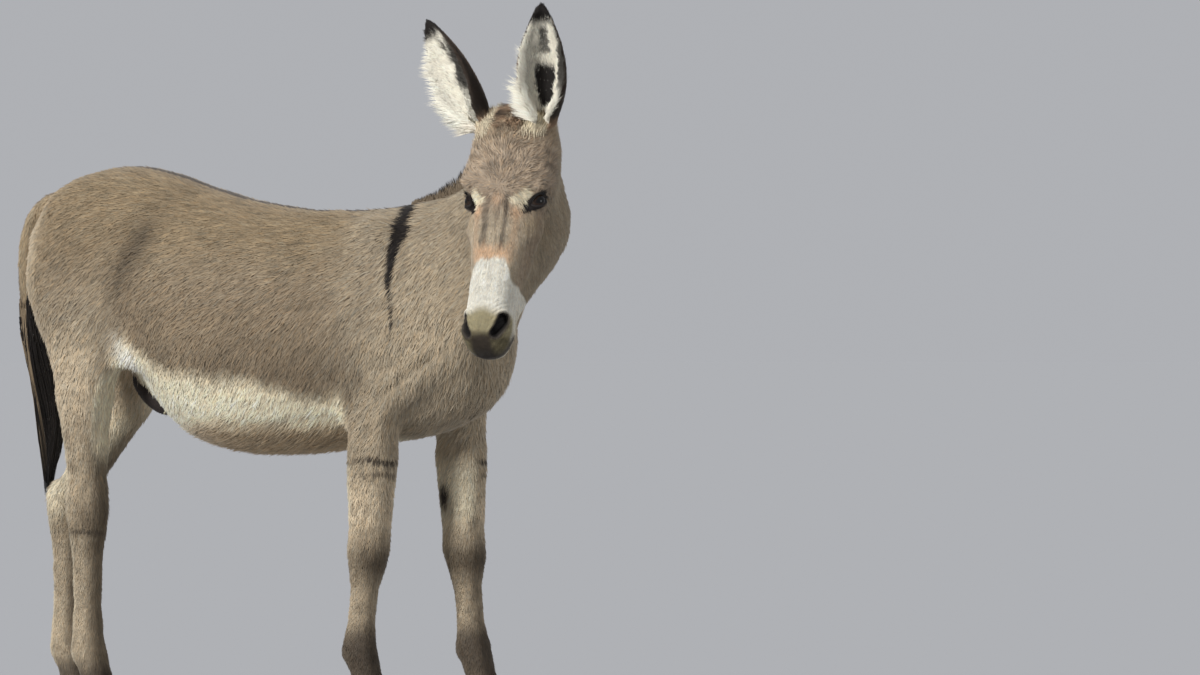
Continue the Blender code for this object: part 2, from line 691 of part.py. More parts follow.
def loose_parts(thing, home):
    """The separate bodies of one mesh, each as an object, the largest first."""
    bm = bmesh.new()
    bm.from_mesh(thing.data)
    bm.verts.ensure_lookup_table()
    seen = set()
    bodies = []
    for start in bm.verts:
        if start.index in seen:
            continue
        seen.add(start.index)
        queue = [start]
        body = []
        while queue:
            vertex = queue.pop()
            body.append(vertex.index)
            for edge in vertex.link_edges:
                other = edge.other_vert(vertex)
                if other.index not in seen:
                    seen.add(other.index)
                    queue.append(other)
        bodies.append(body)
    bm.free()
    places = [v.co.copy() for v in thing.data.vertices]
    made = []
    for body in sorted(bodies, key=len, reverse=True):
        number = {old: new for new, old in enumerate(body)}
        faces = [tuple(number[i] for i in f.vertices) for f in thing.data.polygons
                 if f.vertices[0] in number]
        made.append(mesh_object("body", [places[i] for i in body], faces, home))
    discard(thing)
    return made


def head_hull(home):
    """The simple convex form that holds the head, and parts it from the neck."""
    forms = [face_loft("hull", UPPER_HEAD, home), face_loft("hull", JAW, home)]
    bm = bmesh.new()
    for form in forms:
        bm.from_mesh(form.data)
    made = bmesh.ops.convex_hull(bm, input=bm.verts, use_existing_faces=False)
    hull_faces = {e for e in made["geom"] if isinstance(e, bmesh.types.BMFace)}
    bmesh.ops.delete(bm, geom=[f for f in bm.faces if f not in hull_faces], context="FACES_ONLY")
    bmesh.ops.delete(bm, geom=[e for e in bm.edges if not e.link_faces], context="EDGES")
    bmesh.ops.delete(bm, geom=[v for v in bm.verts if not v.link_faces], context="VERTS")
    bmesh.ops.recalc_face_normals(bm, faces=bm.faces)
    mesh = bpy.data.meshes.new("hull")
    bm.to_mesh(mesh)
    bm.free()
    hull = bpy.data.objects.new("hull", mesh)
    home.objects.link(hull)
    discard(*forms)
    wide = swollen(hull, HULL_MARGIN, "hull", home)
    discard(hull)
    return wide


def middle(thing):
    places = np.array([v.co for v in thing.data.vertices])
    return Vector((places.min(0) + places.max(0)) / 2)


def name_nearest(parts, labels):
    """Give each label to the part whose middle is nearest its point; the rest is discarded."""
    named = {}
    for name, point in labels.items():
        best = min((p for p in parts if p not in named.values()),
                   key=lambda p: (middle(p) - point).length)
        best.name = name
        named[name] = best
    for part in parts:
        if part not in named.values():
            discard(part)
    return named


# ---------------------------------------------------------------- the donkey
COLOURS = {     # colour and roughness
    "coat": ((0.24, 0.20, 0.165), 0.9),
    "dark_hair": ((0.03, 0.024, 0.02), 0.8),
    "horn": ((0.075, 0.065, 0.058), 0.5),
    "eye": ((0.012, 0.008, 0.006), 0.08),
    "bare_skin": ((0.06, 0.045, 0.04), 0.6),
}
PAINTED = {"mane": "dark_hair", "tail_switch": "dark_hair", "sheath": "bare_skin", "eye": "eye",
           "hoof": "horn"}


def paint_of(node_name):
    """The paint of the node, or of its kind, such as eye of eye_left; the rest is coat."""
    return PAINTED.get(node_name, PAINTED.get(node_name.split("_")[0], "coat"))


def whole_body(home):
    forms = [trunk(home), neck(home), face_loft("skull_form", UPPER_HEAD, home),
             face_loft("jaw_form", JAW, home)]
    forms += bulges(home)
    forms += head_forms(home)
    forms += leg_bones(home)
    for side_name, side in SIDES.items():
        forms.append(leg("foreleg_form", FORE_JOINTS[side_name], FORE_GIRTHS, side, home))
        forms.append(leg("hindleg_form", HIND_JOINTS[side_name], HIND_GIRTHS, side, home))
    body = joined("body", forms, home)
    melt = body.modifiers.new("melt", "REMESH")
    melt.mode = "VOXEL"
    melt.voxel_size = VOXEL
    melted = evaluated_copy(body, "melted", home)
    discard(body)
    relax(melted, SMOOTHING, back=0.0)
    relax(melted, SMOOTHING)
    body = swollen(melted, COAT, "body", home)
    discard(melted)
    return body


def fitted(piece, body, home):
    """A piece cut back to a thin gap from the body that it grows from."""
    made = boolean(piece, swollen(body, GAP, "swollen", home), "DIFFERENCE", home)
    parts = loose_parts(made, home)
    discard(*parts[1:])
    return parts[0]


def donkey():
    work = collection("work")
    home = collection("donkey")
    body = whole_body(work)
    fine = reduced(body, HEAD_TRIANGLES, "fine", work)
    coarse = reduced(body, BODY_TRIANGLES, "coarse", work)
    discard(body)

    nodes = {}
    hull = head_hull(work)
    coarse = boolean(coarse, swollen(hull, GAP, "hull", work), "DIFFERENCE", work)
    plates = cutter(work)
    labels = {"trunk": Vector((-0.35, 0, 0.88)), "neck": Vector((0.26, 0.0, 1.05))}
    for side_name, side in SIDES.items():
        knee_x = FORE_JOINTS[side_name][2][0]
        hock_x = HIND_JOINTS[side_name][2][0]
        labels["foreleg_" + side_name] = Vector((knee_x, side * LEG_OUT, 0.36))
        labels["hindleg_" + side_name] = Vector((hock_x, side * LEG_OUT, 0.40))
    nodes.update(name_nearest(loose_parts(boolean(coarse, plates, "DIFFERENCE", work), work),
                              labels))

    nodes.update(name_nearest(loose_parts(boolean(fine, hull, "INTERSECT", work), work),
                              {"head": on_head(0.27, -0.08)}))

    down, out, left = EYE_PLACE
    for side_name, side in SIDES.items():
        centre = on_head(down, out, side * left)
        eye = ball("eye_" + side_name, centre, (EYE_RADIUS,) * 3, (0, 0, 0), work, EYE_SEGMENTS)
        socket = ball("socket", centre, (EYE_RADIUS + GAP,) * 3, (0, 0, 0), work, EYE_SEGMENTS)
        nodes["head"] = boolean(nodes["head"], socket, "DIFFERENCE", work)
        nodes[eye.name] = eye
        nodes["ear_" + side_name] = fitted(ear("ear_" + side_name, side_name, work),
                                           nodes["head"], work)
        for kind, joints in (("fore", FORE_JOINTS), ("hind", HIND_JOINTS)):
            name = "hoof_" + kind + "_" + side_name
            nodes[name] = hoof(name, joints[side_name][4], side, work)

    hair = mane(work)
    for name in ("neck", "trunk", "head"):
        hair = fitted(hair, nodes[name], work)
    nodes["mane"] = hair
    nodes["tail_dock"] = fitted(tail_loft("tail_dock", DOCK, work), nodes["trunk"], work)
    switch = tail_loft("tail_switch", SWITCH, work)
    switch.data.transform(Matrix.Translation((0, 0, -GAP)))
    switch = fitted(switch, nodes["trunk"], work)
    nodes["tail_switch"] = fitted(switch, nodes["hindleg_left"], work)
    nodes["sheath"] = fitted(sheath(work), nodes["trunk"], work)

    places = np.array([v.co for node in nodes.values() for v in node.data.vertices])
    low, high = places.min(0), places.max(0)
    shift = Matrix.Translation((-(low[0] + high[0]) / 2, -(low[1] + high[1]) / 2, -low[2]))
    paints = {name: material(name, *values) for name, values in COLOURS.items()}
    for name, node in nodes.items():
        node.name = name
        node.data.name = name
        node.data.transform(shift)
        node.data.materials.clear()
        node.data.materials.append(paints[paint_of(name)])
        work.objects.unlink(node)
        home.objects.link(node)
    return nodes


clear_scene()
donkey()
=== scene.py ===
"""The looks of a standing grey donkey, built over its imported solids.

One skin replaces the nodes of flesh. Coat, mane, tail hair and ear hair are thin closed tufts and
strands rooted on that skin, with the same markings. Eyes and hooves are finer forms of their own.
Body places are given from the point of the ground below the withers: x forwards, y to the left.
"""

import math
from collections import namedtuple

import bmesh
import bpy
import numpy as np
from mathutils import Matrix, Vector
from mathutils.bvhtree import BVHTree


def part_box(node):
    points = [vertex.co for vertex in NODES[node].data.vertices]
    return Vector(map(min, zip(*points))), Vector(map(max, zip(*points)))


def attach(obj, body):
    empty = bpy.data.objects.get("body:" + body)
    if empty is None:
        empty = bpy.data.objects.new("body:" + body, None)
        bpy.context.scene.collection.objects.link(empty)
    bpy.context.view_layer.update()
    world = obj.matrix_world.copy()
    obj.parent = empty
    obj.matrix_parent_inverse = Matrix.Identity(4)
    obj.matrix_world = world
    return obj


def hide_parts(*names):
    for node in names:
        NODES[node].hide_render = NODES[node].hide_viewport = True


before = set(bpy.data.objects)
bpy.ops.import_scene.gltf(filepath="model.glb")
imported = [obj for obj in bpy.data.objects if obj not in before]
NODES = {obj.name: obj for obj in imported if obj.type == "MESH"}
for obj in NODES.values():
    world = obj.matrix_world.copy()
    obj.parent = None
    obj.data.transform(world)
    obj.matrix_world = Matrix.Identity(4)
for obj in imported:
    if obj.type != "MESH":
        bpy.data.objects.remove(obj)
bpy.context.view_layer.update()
SIDES = {"left": 1, "right": -1}
rng = np.random.default_rng(7)

# ---------------------------------------------------------------- grain of the meshes, in metres
SKIN_VOXEL = 0.0042
JOIN_PUSH = 0.0006          # closes the gaps between neighbouring solids
SKIN_TRIANGLES = 150000     # after the body has been thinned out, before the face is refined
SLIM_BACK = -0.53           # a smoothing's step back that keeps slender forms as thick
EYE_FINE, EYE_FINEST = 0.046, 0.034     # round each eye, where edges are halved once or twice
MUZZLE_MIDDLE, MUZZLE_FINE = (0.495, -0.045, 0.0), 0.085        # on the head, and round there

# ---------------------------------------------------------------- parts of the body
# the nodes of flesh; the part that a point of the skin belongs to is its number in this list
PARTS = ("trunk", "neck", "head", "foreleg_left", "foreleg_right", "hindleg_left",
         "hindleg_right", "ear_left", "ear_right", "tail_dock", "sheath")
PART = {name: k for k, name in enumerate(PARTS)}
LEGS = [k for name, k in PART.items() if "leg" in name]
FORELEGS = [k for name, k in PART.items() if "foreleg" in name]


def by_part(table, parts):
    """Each point's value from a table by part, where both ears share one and all legs another."""
    values = [table.get(name, table["ear" if "ear" in name else "leg"]) for name in PARTS]
    return np.array(values)[parts]


def centre_of(node):
    low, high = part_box(node)
    return (Vector(low) + Vector(high)) / 2


# ---------------------------------------------------------------- places on the body
MID_Y = (centre_of("hoof_fore_left").y + centre_of("hoof_fore_right").y) / 2
WITHERS_X = centre_of("hoof_fore_right").x - 0.003
EYES = {name: centre_of("eye_" + name) for name in SIDES}
EYE_RADIUS = (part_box("eye_left")[1][2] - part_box("eye_left")[0][2]) / 2
HEAD_TILT = math.radians(18)
EYE_DOWN = 0.203            # of the eyes below the poll, along the face
EYE_BACK = 0.040            # of the eyes behind the line of the face

UP = Vector((0, 0, 1))
HEAD_LEFT = (EYES["left"] - EYES["right"]).normalized()
FACING = HEAD_LEFT.cross(UP)
DOWN_FACE = FACING * math.sin(HEAD_TILT) - UP * math.cos(HEAD_TILT)
OUT_OF_FACE = FACING * math.cos(HEAD_TILT) + UP * math.sin(HEAD_TILT)
POLL = (EYES["left"] + EYES["right"]) / 2 - DOWN_FACE * EYE_DOWN + OUT_OF_FACE * EYE_BACK


def array(vector):
    return np.array(vector, dtype=float)


def on_body(points):
    """Columns x, y, z of points in the frame of the withers."""
    return points[:, 0] - WITHERS_X, points[:, 1] - MID_Y, points[:, 2]


def on_face(points):
    """Columns down, out, left of points in the frame of the head."""
    rel = points - array(POLL)
    return rel @ array(DOWN_FACE), rel @ array(OUT_OF_FACE), rel @ array(HEAD_LEFT)


def head_point(down, out, left):
    return POLL + DOWN_FACE * down + OUT_OF_FACE * out + HEAD_LEFT * left


def head_vector(down, out, left):
    return (DOWN_FACE * down + OUT_OF_FACE * out + HEAD_LEFT * left).normalized()


# ---------------------------------------------------------------- number tools
def smooth(low, high, value):
    """0 below low, 1 above high, and a soft step between."""
    part = np.clip((value - low) / (high - low), 0.0, 1.0)
    return part * part * (3 - 2 * part)


def between(value, low, start, end, high):
    """0 below low, 1 from start to end, 0 above high, and soft steps between."""
    return smooth(low, start, value) * smooth(high, end, value)


def bell(value, width):
    return np.exp(-(value / width) ** 2)


def mix(a, b, part):
    return a + (b - a) * part


def unit(vectors):
    return vectors / np.maximum(np.linalg.norm(vectors, axis=1, keepdims=True), 1e-9)


def noise(points, scale, seed):
    """Smooth value noise from -1 to 1 in three dimensions."""
    place = points / scale + 1000.0 + seed * 17.31
    cell = np.floor(place).astype(np.int64)
    part = place - cell
    part = part * part * (3 - 2 * part)
    total = np.zeros(len(points))
    for dx in (0, 1):
        for dy in (0, 1):
            for dz in (0, 1):
                n = ((cell[:, 0] + dx) * 73856093) ^ ((cell[:, 1] + dy) * 19349663)
                n = (n ^ ((cell[:, 2] + dz) * 83492791)) + seed * 7919
                n = (n ^ (n >> 13)) * 1274126177 & 0x7FFFFFFF
                n = (n ^ (n >> 15)) & 0xFFFF
                weight = np.abs(1 - dx - part[:, 0]) * np.abs(1 - dy - part[:, 1])
                total += weight * np.abs(1 - dz - part[:, 2]) * (n / 32767.5 - 1)
    return total


def streaks(points, along, seed, length=0.020, width=0.0040):
    """Noise drawn out along the lie of the hair."""
    total = np.zeros(len(points))
    for step in np.linspace(-0.5, 0.5, 5):
        total += noise(points + along * (length * step), width, seed)
    return total / 2.4


# ---------------------------------------------------------------- mesh tools
def add(name, data):
    made = bpy.data.objects.new(name, data)
    bpy.context.scene.collection.objects.link(made)
    return made


def table_of(items, name, width, kind=np.float32):
    """One property of all of a mesh's items, a row for each."""
    out = np.empty(len(items) * width, dtype=kind)
    items.foreach_get(name, out)
    return out.reshape(-1, width)


def places_of(mesh):
    return table_of(mesh.vertices, "co", 3).astype(float)


def set_places(mesh, places):
    mesh.vertices.foreach_set("co", places.astype(np.float32).ravel())
    mesh.update()


def normals_of(mesh):
    return table_of(mesh.vertex_normals, "vector", 3).astype(float)


def edges_of(mesh):
    return table_of(mesh.edges, "vertices", 2, np.int32)


def triangles_of(mesh):
    mesh.calc_loop_triangles()
    return table_of(mesh.loop_triangles, "vertices", 3, np.int32)


def neighbours(mesh):
    """How many neighbours each vertex has, and a function that adds up their rows of a table."""
    a, b = edges_of(mesh).T
    count = len(mesh.vertices)

    def total(table):
        return np.stack([np.bincount(a, column[b], count) + np.bincount(b, column[a], count)
                         for column in table.T], axis=1)

    degree = np.bincount(a, minlength=count) + np.bincount(b, minlength=count)
    return degree[:, None], total


def spread(mesh, values, rounds):
    """Values at the vertices, averaged with their neighbours again and again."""
    degree, total = neighbours(mesh)
    table = values.reshape(len(values), -1).astype(float)
    for _ in range(rounds):
        table = (table + total(table)) / (degree + 1.0)
    return table.reshape(values.shape)


def relax(mesh, rounds, back=SLIM_BACK, amount=0.5):
    """Smoothing by steps to the neighbours' middle, each with a step back of its own size."""
    degree, total = neighbours(mesh)
    places = places_of(mesh)
    for step in range(2 * rounds):
        places += (amount if step % 2 == 0 else back) * (total(places) / degree - places)
    set_places(mesh, places)


def evaluated(thing):
    """The mesh that a thing's modifiers make; the thing is used up."""
    graph = bpy.context.evaluated_depsgraph_get()
    mesh = bpy.data.meshes.new_from_object(thing.evaluated_get(graph))
    bpy.data.objects.remove(thing, do_unlink=True)
    return mesh


def mesh_of(name, vertices, faces):
    """A mesh from arrays: the faces are an array of triangles or of quads."""
    mesh = bpy.data.meshes.new(name)
    corners = faces.shape[1]
    mesh.vertices.add(len(vertices))
    mesh.vertices.foreach_set("co", vertices.astype(np.float32).ravel())
    mesh.loops.add(faces.size)
    mesh.loops.foreach_set("vertex_index", faces.astype(np.int32).ravel())
    mesh.polygons.add(len(faces))
    mesh.polygons.foreach_set("loop_start", np.arange(0, faces.size, corners, dtype=np.int32))
    mesh.polygons.foreach_set("loop_total", np.full(len(faces), corners, dtype=np.int32))
    mesh.update(calc_edges=True)
    mesh.shade_smooth()
    return mesh


def closed_tube(name, rings, first, last):
    """Triangles round equal rings of points, closed at each end by a point in its middle.

    Seen from the last end, the rings run anticlockwise.
    """
    turns = len(rings[0])
    k = np.arange(turns)
    n = (k + 1) % turns
    top = (len(rings) - 1) * turns
    faces = []
    for a in range(0, top, turns):
        b = a + turns
        faces.append(np.stack([a + k, a + n, b + n, a + k, b + n, b + k], axis=1))
    ends = np.full((2, turns), [[top + turns], [top + turns + 1]])
    faces.append(np.stack([n, k, ends[0], top + k, top + n, ends[1]], axis=1))
    return mesh_of(name, np.vstack([*rings, [first], [last]]), np.vstack(faces).reshape(-1, 3))


def paint(mesh, colours):
    """The colour at each vertex, as the attribute that the materials read."""
    layer = mesh.color_attributes.new("hair_colour", "FLOAT_COLOR", "POINT")
    table = np.ones((len(colours), 4), dtype=np.float32)
    table[:, :3] = np.clip(colours, 0.0, 1.0)
    layer.data.foreach_set("color", table.ravel())


# ---------------------------------------------------------------- the skin: one closed form
def part_of_each(points):
    """The part whose solid each point lies nearest to."""
    corners, faces, owners, start = [], [], [], 0
    for name, part in PART.items():
        mesh = NODES[name].data
        corners.append(places_of(mesh))
        faces.append(triangles_of(mesh) + start)
        owners.append(np.full(len(faces[-1]), part))
        start += len(corners[-1])
    tree = BVHTree.FromPolygons(np.vstack(corners).tolist(), np.vstack(faces).tolist())
    return np.concatenate(owners)[[tree.find_nearest(Vector(p))[2] for p in points]]


def joined_flesh():
    """The outside of all the flesh and both eyes, melted together."""
    bm = bmesh.new()
    for name in PARTS + ("eye_left", "eye_right"):
        piece = bmesh.new()
        piece.from_mesh(NODES[name].data)
        bmesh.ops.remove_doubles(piece, verts=piece.verts, dist=1e-5)
        piece.normal_update()
        for vertex, normal in [(v, v.normal.copy()) for v in piece.verts]:
            vertex.co += normal * JOIN_PUSH
        mesh = bpy.data.meshes.new("piece")
        piece.to_mesh(mesh)
        piece.free()
        bm.from_mesh(mesh)
        bpy.data.meshes.remove(mesh)
    mesh = bpy.data.meshes.new("flesh")
    bm.to_mesh(mesh)
    bm.free()
    thing = add("flesh", mesh)
    melt = thing.modifiers.new("melt", "REMESH")
    melt.mode = "VOXEL"
    melt.voxel_size = SKIN_VOXEL
    return evaluated(thing)


def largest_body(mesh):
    """Only the outer surface: sealed bubbles inside the flesh are taken away."""
    bm = bmesh.new()
    bm.from_mesh(mesh)
    rest, best = set(bm.verts), set()
    while rest:
        queue = [rest.pop()]
        body = set(queue)
        while queue:
            near = {v for edge in queue.pop().link_edges for v in edge.verts} & rest
            rest -= near
            body |= near
            queue.extend(near)
        best = max(best, body, key=len)
    bmesh.ops.delete(bm, geom=[v for v in bm.verts if v not in best], context="VERTS")
    bm.to_mesh(mesh)
    bm.free()
    return mesh


# how far the skin lies inside the solids; the coat fills the rest
COAT_DEPTH = {"trunk": 0.0056, "neck": 0.0052, "head": 0.0024, "ear": 0.0012, "leg": 0.0026,
              "tail_dock": 0.0035, "sheath": 0.001}
MUZZLE_DEPTH = 0.0012


def coat_depth(parts, places):
    down, _out, _left = on_face(places)
    muzzle = (parts == PART["head"]) * smooth(0.30, 0.44, down)
    return mix(by_part(COAT_DEPTH, parts), MUZZLE_DEPTH, muzzle)


def thinned(mesh, parts):
    """Fewer triangles on the body, and all of them kept on the head and ears."""
    thing = add("thin", mesh)
    group = thing.vertex_groups.new(name="body")
    fine = np.isin(parts, [PART["head"], PART["ear_left"], PART["ear_right"]])
    group.add(np.flatnonzero(~fine).tolist(), 1.0, "REPLACE")
    step = thing.modifiers.new("thin", "DECIMATE")
    step.ratio = SKIN_TRIANGLES / (2 * len(mesh.polygons))
    step.vertex_group = "body"
    step.vertex_group_factor = 8.0
    step.use_collapse_triangulate = True
    return evaluated(thing)


def refined(mesh, spots):
    """Edges are halved inside each spot, a pair of its centre and its radius."""
    bm = bmesh.new()
    bm.from_mesh(mesh)
    halved = [edge for edge in bm.edges
              if any(((edge.verts[0].co + edge.verts[1].co) / 2 - centre).length < radius
                     for centre, radius in spots)]
    bmesh.ops.subdivide_edges(bm, edges=halved, cuts=1, use_grid_fill=True)
    bmesh.ops.triangulate(bm, faces=[f for f in bm.faces if len(f.verts) > 3])
    bm.to_mesh(mesh)
    bm.free()
    return mesh


# ---------------------------------------------------------------- eyelids
LID_HALF_LENGTH = 0.0240    # of the opening, measured round the ball
UPPER_LID_RISE = 0.0112
LOWER_LID_DROP = 0.0100
LID_BOW = 0.0016            # both corners lie so far above the middle's line
LID_THICKNESS = 0.0026
EYE_SINK = 0.0042           # of the skin that lies hidden inside the ball


def eye_axes(side):
    """Out of the eye, along the opening from inner to outer corner, and across it, upwards."""
    outward = head_vector(-0.12, 0.50, side * 0.86)
    along = head_vector(-0.62, -0.62, side * 0.42)
    along = (along - outward * along.dot(outward)).normalized()
    across = outward.cross(along)
    if across.z < 0:
        across = -across
    return array(outward), array(along), array(across)


def lens(x, y, half_length, rise, drop):
    """Distance outside two arcs that meet at both ends of the line from -half_length to it."""
    edge = -1.0
    for height, sign in ((rise, 1), (drop, -1)):
        radius = (half_length ** 2 + height ** 2) / (2 * height)
        edge = np.maximum(edge, np.hypot(x, y + sign * (radius - height)) - radius)
    return edge


def eye_map(points, side_name):
    """Places round the ball: across the opening, and the distance from its edge.

    The opening is the lens between two arcs through both corners; inside it the distance is
    negative. The last two columns are the distance from the eye's centre and how far the point
    is on the eye's outer side.
    """
    outward, along, across = eye_axes(SIDES[side_name])
    rel = points - array(EYES[side_name])
    distance = np.linalg.norm(rel, axis=1)
    u = rel / np.maximum(distance, 1e-9)[:, None]
    x = np.arctan2(u @ along, u @ outward) * EYE_RADIUS
    y = np.arcsin(np.clip(u @ across, -1, 1)) * EYE_RADIUS
    y = y - LID_BOW * (x / LID_HALF_LENGTH) ** 2
    edge = lens(x, y, LID_HALF_LENGTH, UPPER_LID_RISE, LOWER_LID_DROP)
    return y, edge, distance, u @ outward


def lid_edge(points, side_name):
    """How far a point of the finished skin is outside the edge of the eye's opening."""
    _y, edge, distance, facing = eye_map(points, side_name)
    edge = edge + np.maximum(distance - EYE_RADIUS - 0.0050, 0.0)
    return edge + 0.05 * (facing < -0.1)


def shape_lids(mesh):
    """Wrap the skin round each eye: open between the lids, thick at their rims, creased above."""
    places = places_of(mesh)
    for side_name in SIDES:
        y, edge, distance, facing = eye_map(places, side_name)
        rim = EYE_RADIUS + LID_THICKNESS * smooth(-0.0004, 0.0030, edge)
        rim += 0.0010 * bell(edge - 0.0035, 0.0020) * (y > 0)
        rim -= 0.0018 * bell(edge - 0.0085, 0.0016) * (y > 0)
        rim -= 0.0010 * bell(edge - 0.0075, 0.0014) * (y < 0)
        wanted = np.where(edge < -0.0003, EYE_RADIUS - EYE_SINK, rim)
        near = (1 - smooth(0.009, 0.022, edge)) * (facing > -0.25) * (distance < 0.05)
        rel = places - array(EYES[side_name])
        new = mix(distance, wanted, near)
        places = array(EYES[side_name]) + rel * (new / np.maximum(distance, 1e-9))[:, None]
    set_places(mesh, places)


# ---------------------------------------------------------------- nostrils, mouth and face folds
NOSTRIL_LOW = (0.503, -0.018, 0.027)    # on the head: down, out, to its side
NOSTRIL_HIGH = (0.470, -0.026, 0.0385)
NOSTRIL_WIDTH = (0.0095, 0.0140)        # half widths at those two ends
NOSTRIL_DEPTH = 0.020
NOSTRIL_REACH = 0.028                   # how far in and out of its plane it is felt
MOUTH_CORNER = 0.470                    # down the face
MOUTH_BACK = 0.064                      # of the lips' line behind the line of the face


def nostril_map(points, side):
    """Distance outside the edge of the nostril, and the part of the way up along it."""
    low, high = (array(head_point(down, out, side * left))
                 for down, out, left in (NOSTRIL_LOW, NOSTRIL_HIGH))
    opening = array(head_vector(0.30, 0.62, side * 0.72))
    axis = high - low
    axis = axis - opening * (axis @ opening)
    rel = points - low
    deep = rel @ opening
    rel = rel - opening * deep[:, None]
    part = np.clip(rel @ axis / (axis @ axis), 0, 1)
    width = mix(*NOSTRIL_WIDTH, part)
    far = np.maximum(np.abs(deep) - NOSTRIL_REACH, 0.0)
    return np.hypot(np.linalg.norm(rel - part[:, None] * axis, axis=1), far) - width, part


def mouth_map(points):
    """How far above the line between the lips a point is, and how surely that line is there."""
    down, out, _left = on_face(points)
    line = -MOUTH_BACK - 0.10 * (0.535 - down)
    return out - line, smooth(MOUTH_CORNER - 0.006, MOUTH_CORNER + 0.006, down)


def shape_face(mesh):
    places = places_of(mesh)
    normals = unit(spread(mesh, normals_of(mesh), 6))
    down, out, left = on_face(places)
    is_head = (places[:, 2] > 0.7) * (np.abs(left) < 0.12) * (down > 0.02) * (out > -0.27)
    is_head = is_head * (out < 0.05)
    # the lips, the wrinkles of the muzzle, and low lumps all over
    height, there = mouth_map(places)
    there = there * is_head
    shift = -0.0045 * bell(height, 0.0028) * there
    shift += 0.0016 * (bell(height - 0.0080, 0.0050) + bell(height + 0.0085, 0.0050)) * there
    muzzle = smooth(0.40, 0.46, down) * smooth(-0.050, -0.030, out) * is_head
    wrinkle = np.sin((down * 0.9 + np.abs(left) * 0.8) * 2 * math.pi / 0.011)
    shift += 0.0005 * wrinkle * muzzle * smooth(0.012, 0.03, np.abs(left))
    shift += 0.0007 * noise(places, 0.011, 3) * is_head
    # the hollow above the eye, the ridge of the face below it, and the vein along the cheek
    for side in (1, -1):
        hollow = array(head_point(0.150, -0.040, side * 0.082))
        shift -= 0.0035 * bell(np.linalg.norm(places - hollow, axis=1), 0.020)
        beside = left * side
        on_ridge = bell(out + 0.060 + 0.10 * (down - 0.25), 0.010) * (beside > 0.03) * is_head
        shift += 0.0055 * on_ridge * between(down, 0.225, 0.25, 0.35, 0.39)
        vein = bell(out + 0.095 + 0.035 * np.sin((down - 0.28) * 22), 0.0045)
        shift += 0.0014 * vein * between(down, 0.28, 0.31, 0.40, 0.43) * (beside > 0.02) * is_head
    places += normals * shift[:, None]
    for side in (1, -1):
        edge, part = nostril_map(places, side)
        inward = array(head_vector(-0.45, -0.62, -0.42 * side))
        hole = (1 - smooth(-0.0055, 0.0004, edge)) * is_head
        places += inward * (NOSTRIL_DEPTH * hole)[:, None]
        rim = bell(edge - 0.0042, 0.0032) * is_head
        places += normals * (0.0026 * rim * (0.6 + 0.6 * part))[:, None]
    set_places(mesh, places)


CREASE = ((0.033, 0.700), (0.168, 0.797))       # of the breast: x, z of its two ends
ARM_EDGE = ((0.66, 0.72, 0.85, 1.0),            # the front edge of the upper arm: x at each z
            (-0.072, -0.058, -0.035, -0.02))


def hip_line(z):
    """Where the hollow before the point of the hip runs: x at each height."""
    return -0.575 - 0.485 * (0.97 - z)


def shape_body(mesh, parts):
    """The crease of the breast, the edge of the upper arm, tendons, and low lumps all over."""
    places = places_of(mesh)
    normals = unit(spread(mesh, normals_of(mesh), 6))
    x, y, z = on_body(places)
    aside = np.abs(y)
    trunk = np.isin(parts, [PART["trunk"], PART["neck"]])
    legs = np.isin(parts, LEGS)
    shift = 0.0016 * noise(places, 0.045, 4) * trunk + 0.0011 * noise(places, 0.020, 5) * legs
    (x0, z0), (x1, z1) = CREASE
    length = math.hypot(x1 - x0, z1 - z0)
    along = ((x - x0) * (x1 - x0) + (z - z0) * (z1 - z0)) / length
    off = ((z - z0) * (x1 - x0) - (x - x0) * (z1 - z0)) / length
    there = between(along, -0.02, 0.03, length - 0.03, length + 0.03)
    there = there * trunk * smooth(0.07, 0.10, aside)
    shift += there * (0.0035 * bell(off - 0.016, 0.014) - 0.0040 * bell(off, 0.009))
    arm = x - np.interp(z, *ARM_EDGE)
    upright = trunk * between(z, 0.64, 0.70, 0.92, 1.02) * smooth(0.08, 0.11, aside)
    shift += upright * (0.0035 * bell(arm - 0.018, 0.018) - 0.0035 * bell(arm + 0.010, 0.016))
    # the hollow before the hip, and the flat front of the thigh
    shift -= 0.0050 * bell(x - hip_line(z), 0.035) * bell(z - 1.02, 0.09) * trunk
    thigh = smooth(0.35, 0.80, normals[:, 0]) * bell(z - 0.66, 0.07) * (trunk | legs)
    shift -= 0.0100 * thigh * between(x, -0.70, -0.66, -0.54, -0.50)
    # the groove in front of the tendons, on both faces of each cannon
    cannon = legs * between(z, 0.16, 0.20, 0.31, 0.36)
    level = np.round(z / 0.01).astype(int)
    for leg in LEGS:
        here = parts == leg
        for step in np.unique(level[here]):
            ring = here & (level == step)
            middle = (x[ring].min() + x[ring].max()) / 2
            shift[ring] -= 0.0022 * bell(x[ring] - middle + 0.006, 0.006) * cannon[ring]
    set_places(mesh, places + normals * shift[:, None])


